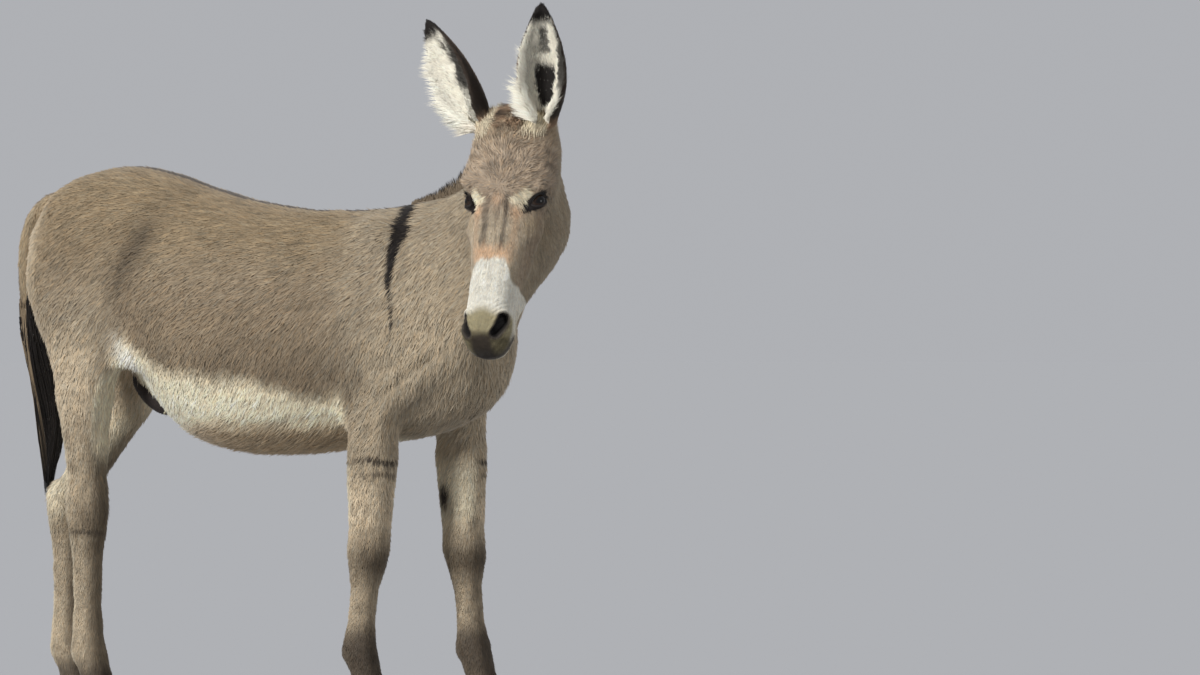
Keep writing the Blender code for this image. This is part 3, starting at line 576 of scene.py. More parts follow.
def make_skin():
    """The flesh's outside, smoothed, sunk by the coat's depth, thinned and given its features."""
    mesh = largest_body(joined_flesh())
    relax(mesh, 3, back=0.0)
    relax(mesh, 14)
    places = places_of(mesh)
    parts = part_of_each(places)
    x, _y, z = on_body(places)
    broad = np.isin(parts, [PART["trunk"], PART["neck"]]) * smooth(0.66, 0.74, z)
    broad = spread(mesh, broad.astype(float), 12)[:, None]
    places = mix(places, spread(mesh, places, 60), broad)
    withers = broad[:, 0] * bell(x + 0.06, 0.13) * smooth(0.93, 1.0, z)
    places = mix(places, spread(mesh, places, 160), withers[:, None])
    set_places(mesh, places)
    depth = spread(mesh, coat_depth(parts, places), 10)
    normals = unit(spread(mesh, normals_of(mesh), 2))
    set_places(mesh, places - normals * depth[:, None])
    mesh = thinned(mesh, parts)
    muzzle = (head_point(*MUZZLE_MIDDLE), MUZZLE_FINE)
    mesh = refined(mesh, [(centre, EYE_FINE) for centre in EYES.values()] + [muzzle])
    mesh = refined(mesh, [(centre, EYE_FINEST) for centre in EYES.values()])
    relax(mesh, 2)
    shape_body(mesh, part_of_each(places_of(mesh)))
    shape_face(mesh)
    shape_lids(mesh)
    mesh.shade_smooth()
    mesh.name = "skin"
    return mesh


# ---------------------------------------------------------------- ears
Ear = namedtuple("Ear", "root axis toward across")
EAR_LENGTH = 0.262
EAR_LEANS = {"left": (0.25, 0.075, math.radians(18)), "right": (0.15, 0.61, math.radians(-22))}
EAR_PLACE = (0.032, -0.038, 0.069)      # on the head: down, out, to its side
EAR_SET_BACK = 0.020
EAR_MIDDLE = 0.045          # from its root to the middle line of its cup
EAR_BOW = 0.012             # of its back, between its root and its tip
EAR_CURL = ((0.0, 0.10, 0.22, 0.36, 0.52, 0.68, 0.82, 0.92, 1.0),
            (0.026, 0.034, 0.046, 0.055, 0.055, 0.048, 0.035, 0.024, 0.009))


def ear_frame(side_name):
    """Root, long axis, the way the hollow faces, and the way across it."""
    forward, outward, opening = EAR_LEANS[side_name]
    side = SIDES[side_name]
    axis = (UP + FACING * forward + HEAD_LEFT * side * outward).normalized()
    toward = Vector((math.sin(opening), -math.cos(opening), 0.0))
    toward = (toward - axis * toward.dot(axis)).normalized()
    down, out, left = EAR_PLACE
    root = head_point(down, out, side * left) - toward * EAR_SET_BACK
    return Ear(array(root), array(axis), array(toward), array(axis.cross(toward)))


EAR_FRAMES = {name: ear_frame(name) for name in SIDES}


def ear_centre(ear):
    """A point on the middle line of an ear's cup."""
    return ear.root + ear.toward * EAR_MIDDLE


def ear_map(points, normals, side_name):
    """Place along the ear, turn round its curl in degrees from the back, and 1 on its inside."""
    ear = EAR_FRAMES[side_name]
    rel = points - ear.root
    along = rel @ ear.axis / EAR_LENGTH
    radius = np.interp(along, *EAR_CURL)
    bow = EAR_BOW * np.sin(math.pi * np.clip(along, 0, 1))
    across = rel @ ear.across
    deep = rel @ ear.toward - radius + bow
    turn = np.degrees(np.arctan2(across, -deep))
    radial = unit(across[:, None] * ear.across + deep[:, None] * ear.toward)
    inside = smooth(-0.1, 0.3, -np.sum(normals * radial, axis=1))
    return along, turn, inside


def ear_hollow(along, turn, points):
    """1 in the dark hollow of an ear and in the groove above it, with ragged edges."""
    ragged = noise(points, 0.006, 32)
    aside = np.abs(turn - 7) + 7 * ragged
    along = along + 0.02 * ragged
    low = between(along, 0.09, 0.16, 0.45, 0.53) * smooth(39, 25, aside)
    high = between(along, 0.54, 0.60, 0.78, 0.87) * smooth(25, 11, aside)
    return np.maximum(low, 0.85 * high)


# ---------------------------------------------------------------- markings
def rgb(red, green, blue):
    """A colour given as it looks on a screen, from 0 to 255, as the light it reflects."""
    value = np.array([red, green, blue]) / 255.0
    return np.where(value <= 0.04045, value / 12.92, ((value + 0.055) / 1.055) ** 2.4)


TAUPE = rgb(160, 145, 122)
WARM = rgb(147, 128, 100)
BROWN = rgb(138, 121, 98)
SHADE = rgb(112, 98, 80)
TAN = rgb(166, 139, 104)
CREAM = rgb(222, 209, 180)
WHITE = rgb(236, 230, 214)
RUST = rgb(208, 172, 138)
DARK = rgb(58, 48, 40)
BLACK = rgb(27, 22, 19)
SKIN_DARK = rgb(44, 36, 33)
NOSE = rgb(150, 138, 100)
EAR_BACK = rgb(104, 82, 62)
FOREHEAD = rgb(160, 142, 121)
FACE = rgb(184, 168, 144)
# the dark lid skin round each eye, widened by painted shade under the upper lid and brow
DARK_LIDS_AND_SHADE = (0.036, 0.0168, 0.0142)        # a lens: half its length, its rise and drop
# the stripe down the shoulder: its x and half its width at each z; the pale belly's top at each x
STRIPE_PLACE = ((0.60, 0.80, 0.84, 0.888, 0.919, 0.95, 0.98, 1.013, 1.044, 1.078, 1.114),
                (0.070, 0.062, 0.056, 0.057, 0.048, 0.042, 0.044, 0.049, 0.051, 0.050, 0.046))
BELLY_BORDER = ((-0.61, -0.585, -0.565, -0.50, -0.46, -0.38, -0.285, -0.19, -0.15, -0.09,
                 -0.06, -0.03, 0.10),
                (0.79, 0.815, 0.795, 0.765, 0.752, 0.744, 0.731, 0.719, 0.695, 0.686,
                 0.695, 0.708, 0.660))
STRIPE_HALF = ((0.79, 0.84, 0.888, 0.919, 0.95, 0.98, 1.013, 1.044, 1.078, 1.114),
               (0.0, 0.0006, 0.0014, 0.0022, 0.0042, 0.0068, 0.0080, 0.0120, 0.0145, 0.0140))


def lay(colours, *coats):
    """One colour, or one for each point, with coats over it: a colour and its part at each."""
    for colour, part in coats:
        colours = colours + (colour - colours) * np.clip(part, 0, 1)[:, None]
    return colours


def body_colours(points, parts):
    """The trunk and the neck: pale belly, dark flank, stripe down the back, and the cross."""
    x, y, z = on_body(points)
    aside = np.abs(y)
    trunk = parts == PART["trunk"]
    wavy = noise(points, 0.05, 11) * 0.6 + noise(points, 0.018, 12) * 0.4
    back = smooth(0.86, 1.06, z + 0.03 * wavy) * smooth(0.02, -0.14, x)
    side = smooth(-0.02, -0.13, x) * smooth(1.06, 0.88, z) * smooth(-0.66, -0.56, x)
    # painted shade behind the elbow and upper arm, along the lower ribs
    shade_behind_arm = smooth(0.03, -0.06, x) * bell(z - 0.76, 0.07) * smooth(-0.50, -0.30, x)
    # painted shade in the hollow before the point of the hip, over a coat that is darker there too
    hip = bell(x - hip_line(z) + 0.01 * wavy, 0.040) * bell(z - 1.01, 0.090)
    # the pale belly rises towards the flank, and runs between the legs
    border = np.interp(x, *BELLY_BORDER) + 0.012 * wavy
    ahead = mix(0.11, -0.055, smooth(0.075, 0.115, aside))
    pale = smooth(border + 0.030, border - 0.024, z) * smooth(-0.64, -0.605, x)
    pale = pale * smooth(ahead + 0.012, ahead - 0.012, x)
    # the tan underside of the belly is painted shade, warmed by light from the ground
    under = smooth(0.668, 0.615, z + 0.008 * wavy) * between(x, -0.52, -0.42, -0.09, -0.02)
    fold = bell(x + 0.590 - 0.5 * (0.80 - z), 0.021) * bell(z - 0.780, 0.036) * (aside > 0.05)
    breast = smooth(-0.02, 0.06, x) * smooth(1.08, 0.95, z)
    # the stripe down the back and the cross at the withers
    narrow = 0.013 + 0.003 * noise(points, 0.03, 14)
    top = smooth(narrow + 0.006, narrow - 0.003, aside) * smooth(1.0, 1.07, z) * (x < 0.10)
    middle = np.interp(z, *STRIPE_PLACE) + 0.004 * noise(points, 0.02, 13)
    half = np.interp(z, *STRIPE_HALF) * (1 + 0.35 * noise(points, 0.014, 17))
    cross = smooth(half + 0.0055, half - 0.0020, np.abs(x - middle)) * smooth(0.0, 0.0012, half)
    return lay(TAUPE,
               (WARM * 0.96, 0.9 * back),
               (BROWN, 0.85 * side),
               (SHADE, 0.5 * shade_behind_arm),
               (SHADE * 0.62, 0.85 * hip),
               (SHADE, 0.3 * bell(x + 0.74, 0.07) * bell(z - 0.98, 0.11)),
               (TAUPE * 1.5, smooth(-0.60, -0.70, x) * smooth(0.90, 0.78, z)),
               # painted light along the lit rear edge of the rump
               (TAUPE * 1.45, smooth(-0.79, -0.86, x) * smooth(0.75, 0.85, z)),
               (CREAM * 1.3, pale * trunk),
               (TAN, 0.85 * under * trunk),
               (WHITE * 1.08, 1.3 * fold * trunk),
               (TAUPE * 1.17, breast),
               (DARK, 0.92 * top),
               (BLACK * 1.3, cross))


def leg_middle(name, height):
    """x of the middle of a leg's solid near a height."""
    places = places_of(NODES[name].data)
    x = on_body(places[np.abs(places[:, 2] - height) < 0.05])[0]
    return (x.min() + x.max()) / 2


# how light the legs are, against taupe, at each z
FORE_TONE = ((0.18, 0.25, 0.30, 0.40, 0.46, 0.52, 0.55, 0.60, 0.66),
             (1.35, 1.70, 1.50, 1.60, 1.80, 1.50, 1.50, 1.80, 1.55))
HIND_TONE = ((0.18, 0.30, 0.36, 0.42, 0.50, 0.58, 0.66, 0.72),
             (1.30, 1.20, 1.10, 1.15, 1.35, 1.35, 1.15, 1.50))
CHESTNUT_HEIGHT = 0.486


def leg_sides(parts, normals):
    """Which points are on a foreleg, and how far each faces away from the body's middle."""
    outwards = np.where(parts % 2 == PART["foreleg_left"] % 2, 1.0, -1.0)
    return np.isin(parts, FORELEGS), normals[:, 1] * outwards


def leg_colours(points, parts, normals):
    """The legs: pale inside, with dark knees, hocks, fetlocks and chestnuts."""
    x, _y, z = on_body(points)
    fore, outer = leg_sides(parts, normals)
    tone = np.where(fore, np.interp(z, *FORE_TONE), np.interp(z, *HIND_TONE))
    grey = noise(points, 0.030, 18) * 0.5 + noise(points, 0.010, 19) * 0.5
    inner = smooth(0.15, 0.75, -outer)
    # paler rear faces of the legs: partly pale coat, partly painted light where the rear of the
    # legs is lit
    pale_and_lit_rear = smooth(0.35, 0.8, -normals[:, 0])
    front = smooth(-0.5, 0.5, normals[:, 0])
    knee = bell(z - 0.345, 0.036) * (0.55 + 0.45 * front) * fore
    below = smooth(0.46, 0.36, z) * (0.4 + 0.6 * front) * fore
    hock = bell(z - 0.435, 0.050) * (0.45 + 0.55 * front) * ~fore
    # painted shade on the front of each hind leg, from the gaskin down
    shaded_hind_front = smooth(-0.1, 0.7, normals[:, 0]) * smooth(0.66, 0.56, z) * ~fore
    ragged = z + 0.012 * grey
    fetlock = np.where(fore, smooth(0.235, 0.170, ragged), smooth(0.15, 0.09, ragged))
    chestnut = np.zeros(len(points))
    for side_name in SIDES:
        leg = "foreleg_" + side_name
        aside = x - leg_middle(leg, CHESTNUT_HEIGHT) + 0.010
        patch = bell(np.hypot(aside, 0.6 * (z - CHESTNUT_HEIGHT)), 0.019)
        chestnut += patch * inner * (parts == PART[leg])
    return lay(TAUPE * tone[:, None],
               (CREAM * 1.1, 0.9 * inner * smooth(0.40, 0.47, z)),
               (CREAM, np.where(fore, 0.8 * smooth(0.40, 0.46, z), 0.35) * pale_and_lit_rear),
               (SHADE, 0.45 * smooth(0.0, 0.5, grey)),
               (BROWN * 0.36, 0.95 * knee),
               (SHADE * 0.75, 0.50 * below),
               (BROWN * 0.75, 0.8 * hock),
               (BROWN * 0.55, 0.70 * shaded_hind_front),
               (DARK, 0.8 * fetlock),
               (DARK * 0.8, 1.2 * chestnut))


def leg_bars(points, parts, normals):
    """How strongly the dark bars across the legs show at each point."""
    z = points[:, 2]
    fore, outer = leg_sides(parts, normals)
    wave = 0.004 * noise(points, 0.03, 16)
    jagged = 0.007 * noise(points, 0.012, 20)
    bars = (0.95 * bell(z - 0.564 + wave, 0.0056) + 0.50 * bell(z - 0.536 + jagged, 0.0055)) * fore
    bars = bars * (0.35 + 0.65 * smooth(-0.5, 0.5, normals[:, 0]))
    bars += 0.45 * bell(z - 0.405 + wave, 0.0050) * ~fore
    return np.minimum(1.5 * bars * smooth(-0.55, 0.1, outer), 0.9)


def head_colours(points):
    """The face: streaks and rust down the nose, white muzzle, dark lips, and pale by the eyes."""
    down, out, left = on_face(points)
    side = np.abs(left)
    wavy = noise(points, 0.02, 21)
    jaw = 0.75 * smooth(-0.17, -0.24, out + 0.02 * wavy)
    # streaks down the nose, the rusty spot at the whorl, and the rusty band above the muzzle
    front = smooth(-0.055, -0.032, out)
    nose = front * between(down, 0.185, 0.215, 0.31, 0.345)
    drawn = np.stack([left, np.zeros(len(left)), down * 0.16], axis=1)
    lines = bell(side - 0.0215, 0.0058) * (0.85 + 0.5 * noise(drawn, 0.008, 22))
    lines = 0.78 * lines + 0.34 * smooth(0.1, 0.6, noise(drawn, 0.005, 24))
    spot = bell(np.hypot(left, (down - 0.208) * 0.7), 0.009) * front
    strip = bell(side - 0.044, 0.008) * nose
    ragged = 0.010 * noise(drawn, 0.006, 23)
    band = smooth(0.296, 0.324, down + ragged) * smooth(0.352, 0.338, down)
    band = band * smooth(0.050, 0.030, side) * front
    # white muzzle, ochre nose, dark nostrils and lips
    start = 0.338 + 0.050 * smooth(0.030, 0.054, side) + 0.6 * np.maximum(-0.055 - out, 0.0)
    start = start + 0.005 * wavy + 0.4 * ragged
    white = smooth(start - 0.006, start + 0.007, down) * smooth(-0.175, -0.135, out)
    chin = smooth(0.40, 0.47, down) * smooth(-0.05, -0.085, out)
    ochre = smooth(0.446, 0.474, down + 0.01 * bell(left, 0.02)) * smooth(-0.062, -0.04, out)
    lip = smooth(0.494, 0.516, down + 0.004 * wavy) * (1 - 0.72 * smooth(0.016, 0.036, side))
    height, there = mouth_map(points)
    lips = bell(height, 0.013) * there * smooth(0.480, 0.50, down)
    colours = lay(FOREHEAD,
                  (FACE, smooth(0.20, 0.27, down) * smooth(-0.06, -0.02, out)),
                  (TAUPE * 0.92, smooth(-0.045, -0.085, out)),
                  (CREAM * 0.88, jaw),
                  (WARM, 0.5 * smooth(0.12, 0.03, down) * smooth(-0.08, -0.04, out)),
                  (DARK, nose * lines),
                  (RUST, 0.6 * spot),
                  (RUST * 0.9, 0.45 * strip),
                  (RUST * 1.15, 0.85 * band),
                  (WHITE, white),
                  (CREAM * 0.85, 0.8 * chin),
                  (NOSE, 0.9 * ochre),
                  (NOSE * 0.55, 0.8 * smooth(0.496, 0.516, down) * (out > -0.06)),
                  (DARK * 0.7, 0.95 * lip * smooth(-0.075, -0.055, out)),
                  (SKIN_DARK, 0.95 * lips))
    # dark skin round each nostril; inside the opening it is near black, painted shade in the
    # hollow
    for sign in SIDES.values():
        edge, _part = nostril_map(points, sign)
        colours = lay(colours,
                      (SKIN_DARK, 0.9 * smooth(0.0065, 0.001, edge)),
                      (BLACK * 0.6, smooth(0.001, -0.002, edge)))
    # the cream patch before each eye, with rust and a warm crest below it, and the dark lids
    # widened by painted shade
    for side_name, sign in SIDES.items():
        beside = left * sign
        slant = (down - 0.200) + 0.9 * (beside - 0.052)
        over = (down - 0.200) - 0.9 * (beside - 0.052)
        pale = between(over, -0.034, -0.018, 0.026, 0.040)
        pale = pale * between(slant, -0.022, -0.012, 0.018, 0.030)
        rust = bell(np.hypot((down - 0.230) * 0.7, beside - 0.042), 0.0095) * (out > -0.08)
        crest = bell(np.hypot((down - 0.248) * 0.5, beside - 0.070), 0.013) * (out > -0.12)
        outward, along, across = eye_axes(sign)
        rel = points - array(EYES[side_name])
        # dark lid skin and tear region, with painted shade beyond them under the upper lid and
        # brow
        lids = smooth(0.0025, -0.0010, lens(rel @ along + 0.004, rel @ across,
                                            *DARK_LIDS_AND_SHADE))
        colours = lay(colours,
                      (CREAM * 1.15, pale * smooth(-0.09, -0.06, out)),
                      (RUST * 0.95, 0.9 * rust),
                      (WARM * 1.3, 0.5 * crest),
                      (SKIN_DARK * 0.6, lids * smooth(-0.022, -0.014, rel @ outward)))
    return colours


def dark_rim(along, turn):
    """1 on the front edge of an ear, dark from a third of the way up."""
    return smooth(58, 76, turn) * smooth(0.20, 0.36, along)


def ear_colours(points, normals, side_name):
    """An ear: brown behind, white inside with a dark hollow, and black at the rim and tip."""
    along, turn, inside = ear_map(points, normals, side_name)
    wavy = noise(points, 0.012, 31)
    rim = smooth(50, 74, turn) + smooth(50, 74, -turn) * smooth(0.50, 0.65, along)
    back = lay(EAR_BACK,
               (BLACK * 1.2, smooth(0.70, 0.86, along + 0.03 * wavy)),
               (DARK * 0.8, 0.85 * smooth(0.34, 0.16, along + 0.04 * wavy)),
               (WHITE, smooth(50, 70, -turn) * smooth(0.45, 0.30, along)),
               (DARK * 0.7, 0.9 * rim))
    front = lay(WHITE * 0.96,
                (BLACK * 1.1, ear_hollow(along, turn, points)),
                (BLACK * 1.3, 0.9 * dark_rim(along, turn)),
                (BLACK * 1.2, smooth(0.84, 0.90, along + 0.03 * wavy)))
    return lay(mix(back, front, inside[:, None]),
               (RUST * 0.6, 0.7 * smooth(0.10, 0.02, along) * (1 - inside)))


def markings(points, normals, parts):
    """The coat's colour at each point, by the part that it belongs to."""
    x, y, z = on_body(points)
    colours = body_colours(points, parts)
    legs = np.isin(parts, LEGS)
    if legs.any():
        place = points[legs], parts[legs], normals[legs]
        top = np.where(np.isin(place[1], FORELEGS), 0.60, 0.71)
        leg = mix(colours[legs], leg_colours(*place), smooth(top, top - 0.10, z[legs])[:, None])
        colours[legs] = lay(leg, (DARK * 0.75, leg_bars(*place)))
    # the pale front edge of the thigh
    edge = smooth(0.45, 0.80, normals[:, 0]) * between(x, -0.70, -0.66, -0.54, -0.50)
    edge = edge * between(z, 0.54, 0.60, 0.78, 0.83) * (np.abs(y) > 0.04)
    colours = lay(colours, (CREAM * 1.15, 0.9 * edge * (legs | (parts == PART["trunk"]))))
    head = parts == PART["head"]
    if head.any():
        colours[head] = head_colours(points[head])
    for side_name in SIDES:
        ear = parts == PART["ear_" + side_name]
        if ear.any():
            colours[ear] = ear_colours(points[ear], normals[ear], side_name)
    # the dock, with the end of the stripe down the back
    tail = parts == PART["tail_dock"]
    aside = np.abs(points[:, 1] - centre_of("tail_dock").y)
    stripe = smooth(0.016, 0.006, aside) * smooth(0.84, 0.98, z) * (normals[:, 0] < 0.2)
    colours = lay(colours, (WARM * 1.1, 0.7 * tail), (DARK, 0.8 * stripe * tail))
    colours[parts == PART["sheath"]] = SKIN_DARK
    return colours


# ---------------------------------------------------------------- how the hair lies
WHORL_DOWN = 0.185          # of the whorl on the forehead, down the face


def hair_lie(points, parts):
    """The way the hair points at each place, before it is laid along the skin."""
    x, _y, z = on_body(points)
    steep = np.interp(z, (0.60, 0.72, 0.90, 1.10), (0.9, 2.4, 1.0, 0.45))
    steep = steep * np.interp(x, (-0.80, -0.60, -0.30, 0.0), (1.6, 1.0, 0.9, 1.2))
    belly = smooth(0.66, 0.60, z)
    shoulder = smooth(-0.02, 0.12, x) * smooth(1.1, 0.9, z)
    lie = np.stack([-1.0 - 1.5 * belly, np.zeros(len(points)), -steep - 2.0 * shoulder], axis=1)
    lie[parts == PART["neck"]] = (-0.62, 0.0, -0.80)
    lie[np.isin(parts, LEGS)] = (-0.14, 0.0, -1.0)
    lie[parts == PART["tail_dock"]] = (-0.15, 0.0, -1.0)
    head = parts == PART["head"]
    if head.any():
        # it fans out from the whorl, and runs down and back on the cheeks
        down, out, left = on_face(points[head])
        fan = np.stack([0.15 + np.clip((down - WHORL_DOWN) / 0.03, -1.0, 1.0),
                        np.zeros(head.sum()),
                        np.clip(left / 0.03, -0.8, 0.8) * smooth(0.34, 0.2, down)], axis=1)
        cheek = smooth(-0.045, -0.085, out)[:, None]
        way = fan * (1 - cheek) + np.array([0.75, -0.75, 0.0]) * cheek
        lie[head] = way @ np.array([array(DOWN_FACE), array(OUT_OF_FACE), array(HEAD_LEFT)])
    for side_name in SIDES:
        lie[parts == PART["ear_" + side_name]] = EAR_FRAMES[side_name].axis
    return unit(lie)


def laid_down(lie, normals):
    return unit(lie - normals * np.sum(lie * normals, axis=1, keepdims=True))


LENGTHS = {"trunk": 0.0180, "neck": 0.0170, "head": 0.0105, "ear": 0.0095, "leg": 0.0115,
           "tail_dock": 0.014, "sheath": 0.005}


def under_belly(x, z):
    """1 along the underside of the belly, between the legs."""
    return smooth(0.66, 0.60, z) * between(x, -0.60, -0.52, -0.16, -0.08)


def hair_length(points, parts):
    x, _y, z = on_body(points)
    breast = smooth(0.10, 0.2, x) * smooth(1.0, 0.8, z)
    length = by_part(LENGTHS, parts)
    length += (parts == PART["trunk"]) * (0.006 * under_belly(x, z) + 0.003 * breast)
    leg = mix(0.0155, 0.0100, smooth(0.55, 0.25, z))
    leg = mix(leg, 0.0150, smooth(0.095, 0.070, z))
    length = np.where(np.isin(parts, LEGS), leg, length)
    down, out, _left = on_face(points)
    face = mix(0.0140, 0.0085, smooth(0.14, 0.30, down))
    face = mix(face, 0.0140, smooth(-0.08, -0.16, out))
    face = mix(face, 0.0044, smooth(0.36, 0.46, down))
    for side_name in SIDES:
        face = mix(face, 0.0032, smooth(0.030, 0.006, lid_edge(points, side_name)))
    return np.where(parts == PART["head"], face, length)


# ---------------------------------------------------------------- where hair is rooted
Roots = namedtuple("Roots", "places normals lie parts")


class Skin:
    """The skin's triangles with the part and the lie of the hair at its vertices."""

    def __init__(self, mesh):
        self.mesh = mesh
        self.places = places_of(mesh)
        self.normals = normals_of(mesh)
        self.triangles = triangles_of(mesh)
        self.parts = part_of_each(self.places)
        self.soft = unit(spread(mesh, self.normals, 4))
        self.lie = hair_lie(self.places, self.parts)
        for _ in range(3):
            self.lie = laid_down(spread(mesh, self.lie, 8), self.soft)
        corners = self.places[self.triangles]
        across = np.cross(corners[:, 1] - corners[:, 0], corners[:, 2] - corners[:, 0])
        self.areas = np.linalg.norm(across, axis=1) / 2
        self.middles = corners.mean(axis=1)
        self.face_parts = self.parts[self.triangles[:, 0]]

    def scatter(self, density):
        """Roots spread evenly over the faces, by how many each square metre holds."""
        wanted = self.areas * density
        count = np.floor(wanted + rng.random(len(wanted))).astype(int)
        face = np.repeat(np.arange(len(count)), count)
        a, b = rng.random((2, len(face)))
        over = a + b > 1
        a[over], b[over] = 1 - a[over], 1 - b[over]
        weights = np.stack([1 - a - b, a, b], axis=1)[:, :, None]
        corners = self.triangles[face]
        places = np.sum(self.places[corners] * weights, axis=1)
        normals = unit(np.sum(self.soft[corners] * weights, axis=1))
        lie = laid_down(np.sum(self.lie[corners] * weights, axis=1), normals)
        return Roots(places, normals, lie, self.face_parts[face])


# ---------------------------------------------------------------- coat of short tufts
PATCH = 0.003               # of the bake map, for each tuft
MAP_EDGE, MAP_SPAN = 0.004, 0.992       # where the patches start on it, and how far they go
# each tuft darker at its root and lighter at its tip: painted shade deep in the coat, painted
# light at its top
PAINTED_ROOT_SHADE, PAINTED_TIP_LIGHT = 0.66, 1.14
# how many times over the tufts cover the skin
COVER = {"trunk": 2.6, "neck": 2.8, "head": 2.3, "ear": 1.9, "leg": 2.3, "tail_dock": 3.0,
         "sheath": 0.15}
MUZZLE_COVER = 1.3
BARE_LID = 0.0032           # beside the eye's opening, the nostril and the line of the lips
BARE_NOSTRIL = 0.0012
BARE_LIP = 0.0024
# the pieces of the trunk's coat on each side, and the x between which their roots lie
COAT_THIRDS = (("fore", -0.20, 9.0), ("middle", -0.52, -0.20), ("hind", -9.0, -0.52))


def turned(lie, normals, angles):
    """The lie swung in the skin's plane by an angle at each root."""
    side = np.cross(normals, lie)
    return lie * np.cos(angles)[:, None] + side * np.sin(angles)[:, None]


def chosen(roots, which):
    return Roots(*(column[which] for column in roots))


def tuft_width(length):
    return np.clip(length * 0.225, 0.0009, 0.0040)


def hair_piece(name, vertices, pattern, colours, bend, roots, patch):
    """One object of many alike tufts or strands.

    vertices, colours and bend are (tuft, vertex, 3), and pattern is one tuft's triangles. bend
    is the way that the shaded surface faces, or None. The bake map gives each tuft a patch of
    its own at its root's place on an unwrap of the skin.
    """
    count, each, _ = vertices.shape
    faces = np.array(pattern)[None] + each * np.arange(count)[:, None, None]
    mesh = mesh_of(name, vertices.reshape(-1, 3), faces.reshape(-1, 3))
    paint(mesh, colours.reshape(-1, 3))
    if bend is not None:
        mesh.normals_split_custom_set_from_vertices(unit(bend.reshape(-1, 3)))
    places = (roots[:, None] + np.array(patch)[None] * PATCH).reshape(-1, 2)
    layer = mesh.uv_layers.new(name="OFBake")
    corners = table_of(mesh.loops, "vertex_index", 1, np.int32)[:, 0]
    layer.data.foreach_set("uv", places[corners].astype(np.float32).ravel())
    return add(name, mesh)


def tufts(name, roots, length, width, lift, colours, unwrap):
    """Closed thin spikes of four triangles, shaded as the soft surface they make up."""
    side = np.cross(roots.normals, roots.lie)
    ahead = roots.lie * np.cos(lift)[:, None] + roots.normals * np.sin(lift)[:, None]
    half = (width / 2)[:, None]
    sunk = roots.places - roots.normals * (width * 0.35)[:, None]
    ridge = roots.places + roots.normals * (width * 0.30)[:, None]
    tip = roots.places + ahead * length[:, None]
    vertices = np.stack([sunk - side * half, sunk + side * half, ridge, tip], axis=1)
    pattern = [[0, 3, 2], [2, 3, 1], [1, 3, 0], [0, 2, 1]]
    # painted shade at each root and painted light at each tip
    dark, pale = colours * PAINTED_ROOT_SHADE, colours * PAINTED_TIP_LIGHT
    shades = np.stack([dark, dark, mix(dark, pale, 0.45), pale], axis=1)
    bend = np.stack([roots.normals * 0.8 - side * 0.5, roots.normals * 0.8 + side * 0.5,
                     roots.normals, roots.normals + ahead * 0.25], axis=1)
    patch = [[0.0, 0.0], [1.0, 0.0], [0.5, 0.3], [0.5, 1.0]]
    return hair_piece(name, vertices, pattern, shades, bend, unwrap, patch)


def unwrapped(points, axis, centre, inside=None):
    """A tube's unwrap about an axis, stretched to fill the square."""
    axis = unit(np.array([axis], dtype=float))[0]
    first = np.cross(axis, [0.0, 0.0, 1.0] if abs(axis[2]) < 0.9 else [1.0, 0.0, 0.0])
    first /= np.linalg.norm(first)
    second = np.cross(axis, first)
    rel = points - centre
    turn = np.arctan2(rel @ second, rel @ first)
    along = rel @ axis
    if inside is not None:
        turn = turn + np.where(inside, 2 * math.pi, 0.0)
    table = np.stack([turn, along], axis=1)
    low, high = table.min(axis=0), table.max(axis=0)
    return MAP_EDGE + (table - low) / (high - low) * (MAP_SPAN - PATCH)


def coat_roots(skin):
    """Roots all over the body, but for the eyes, the nostrils and the line of the lips."""
    length = hair_length(skin.middles, skin.face_parts)
    down, _out, _left = on_face(skin.middles)
    muzzle = (skin.face_parts == PART["head"]) * smooth(0.40, 0.47, down)
    cover = mix(by_part(COVER, skin.face_parts), MUZZLE_COVER, muzzle)
    roots = skin.scatter(cover / (0.5 * length * tuft_width(length)))
    height, there = mouth_map(roots.places)
    on_head = roots.parts == PART["head"]
    keep = ~(on_head & (np.abs(height) < BARE_LIP) & (there > 0.5))
    for side_name, side in SIDES.items():
        keep &= lid_edge(roots.places, side_name) > BARE_LID
        keep &= nostril_map(roots.places, side)[0] > BARE_NOSTRIL
    return chosen(roots, keep)


def coat_pieces(roots):
    """Name, which roots, and the unwrap's axis and a point of it, for each piece of the coat."""
    x, y, _z = on_body(roots.places)
    _down, _out, left = on_face(roots.places)
    trunk_line = np.array([WITHERS_X, MID_Y, 0.86])
    head_line = array(head_point(0.25, -0.08, 0.0))
    neck_axis = array(head_point(0.1, -0.1, 0.0)) - np.array([WITHERS_X, MID_Y, 0.93])
    own = {name: roots.parts == part for name, part in PART.items()}
    pieces = []
    for side_name, side in SIDES.items():
        for third, low, high in COAT_THIRDS:
            pieces.append((f"trunk_{third}_{side_name}",
                           own["trunk"] & (y * side >= 0) & (x >= low) & (x < high),
                           (1, 0, 0), trunk_line))
        pieces.append((f"head_{side_name}", own["head"] & (left * side >= 0), DOWN_FACE,
                       head_line))
        for leg in (f"foreleg_{side_name}", f"hindleg_{side_name}"):
            pieces.append((leg, own[leg], (0, 0, 1), array(centre_of(leg))))
        ear = EAR_FRAMES[side_name]
        pieces.append((f"ear_{side_name}", own[f"ear_{side_name}"], ear.axis, ear_centre(ear)))
    for name, node_name, axis in (("neck", "neck", neck_axis), ("tail", "tail_dock", (0, 0, 1)),
                                  ("sheath", "sheath", (0, 0, 1))):
        pieces.append((name, own[node_name], axis, array(centre_of(node_name))))
    return [("coat_" + name, *rest) for name, *rest in pieces]


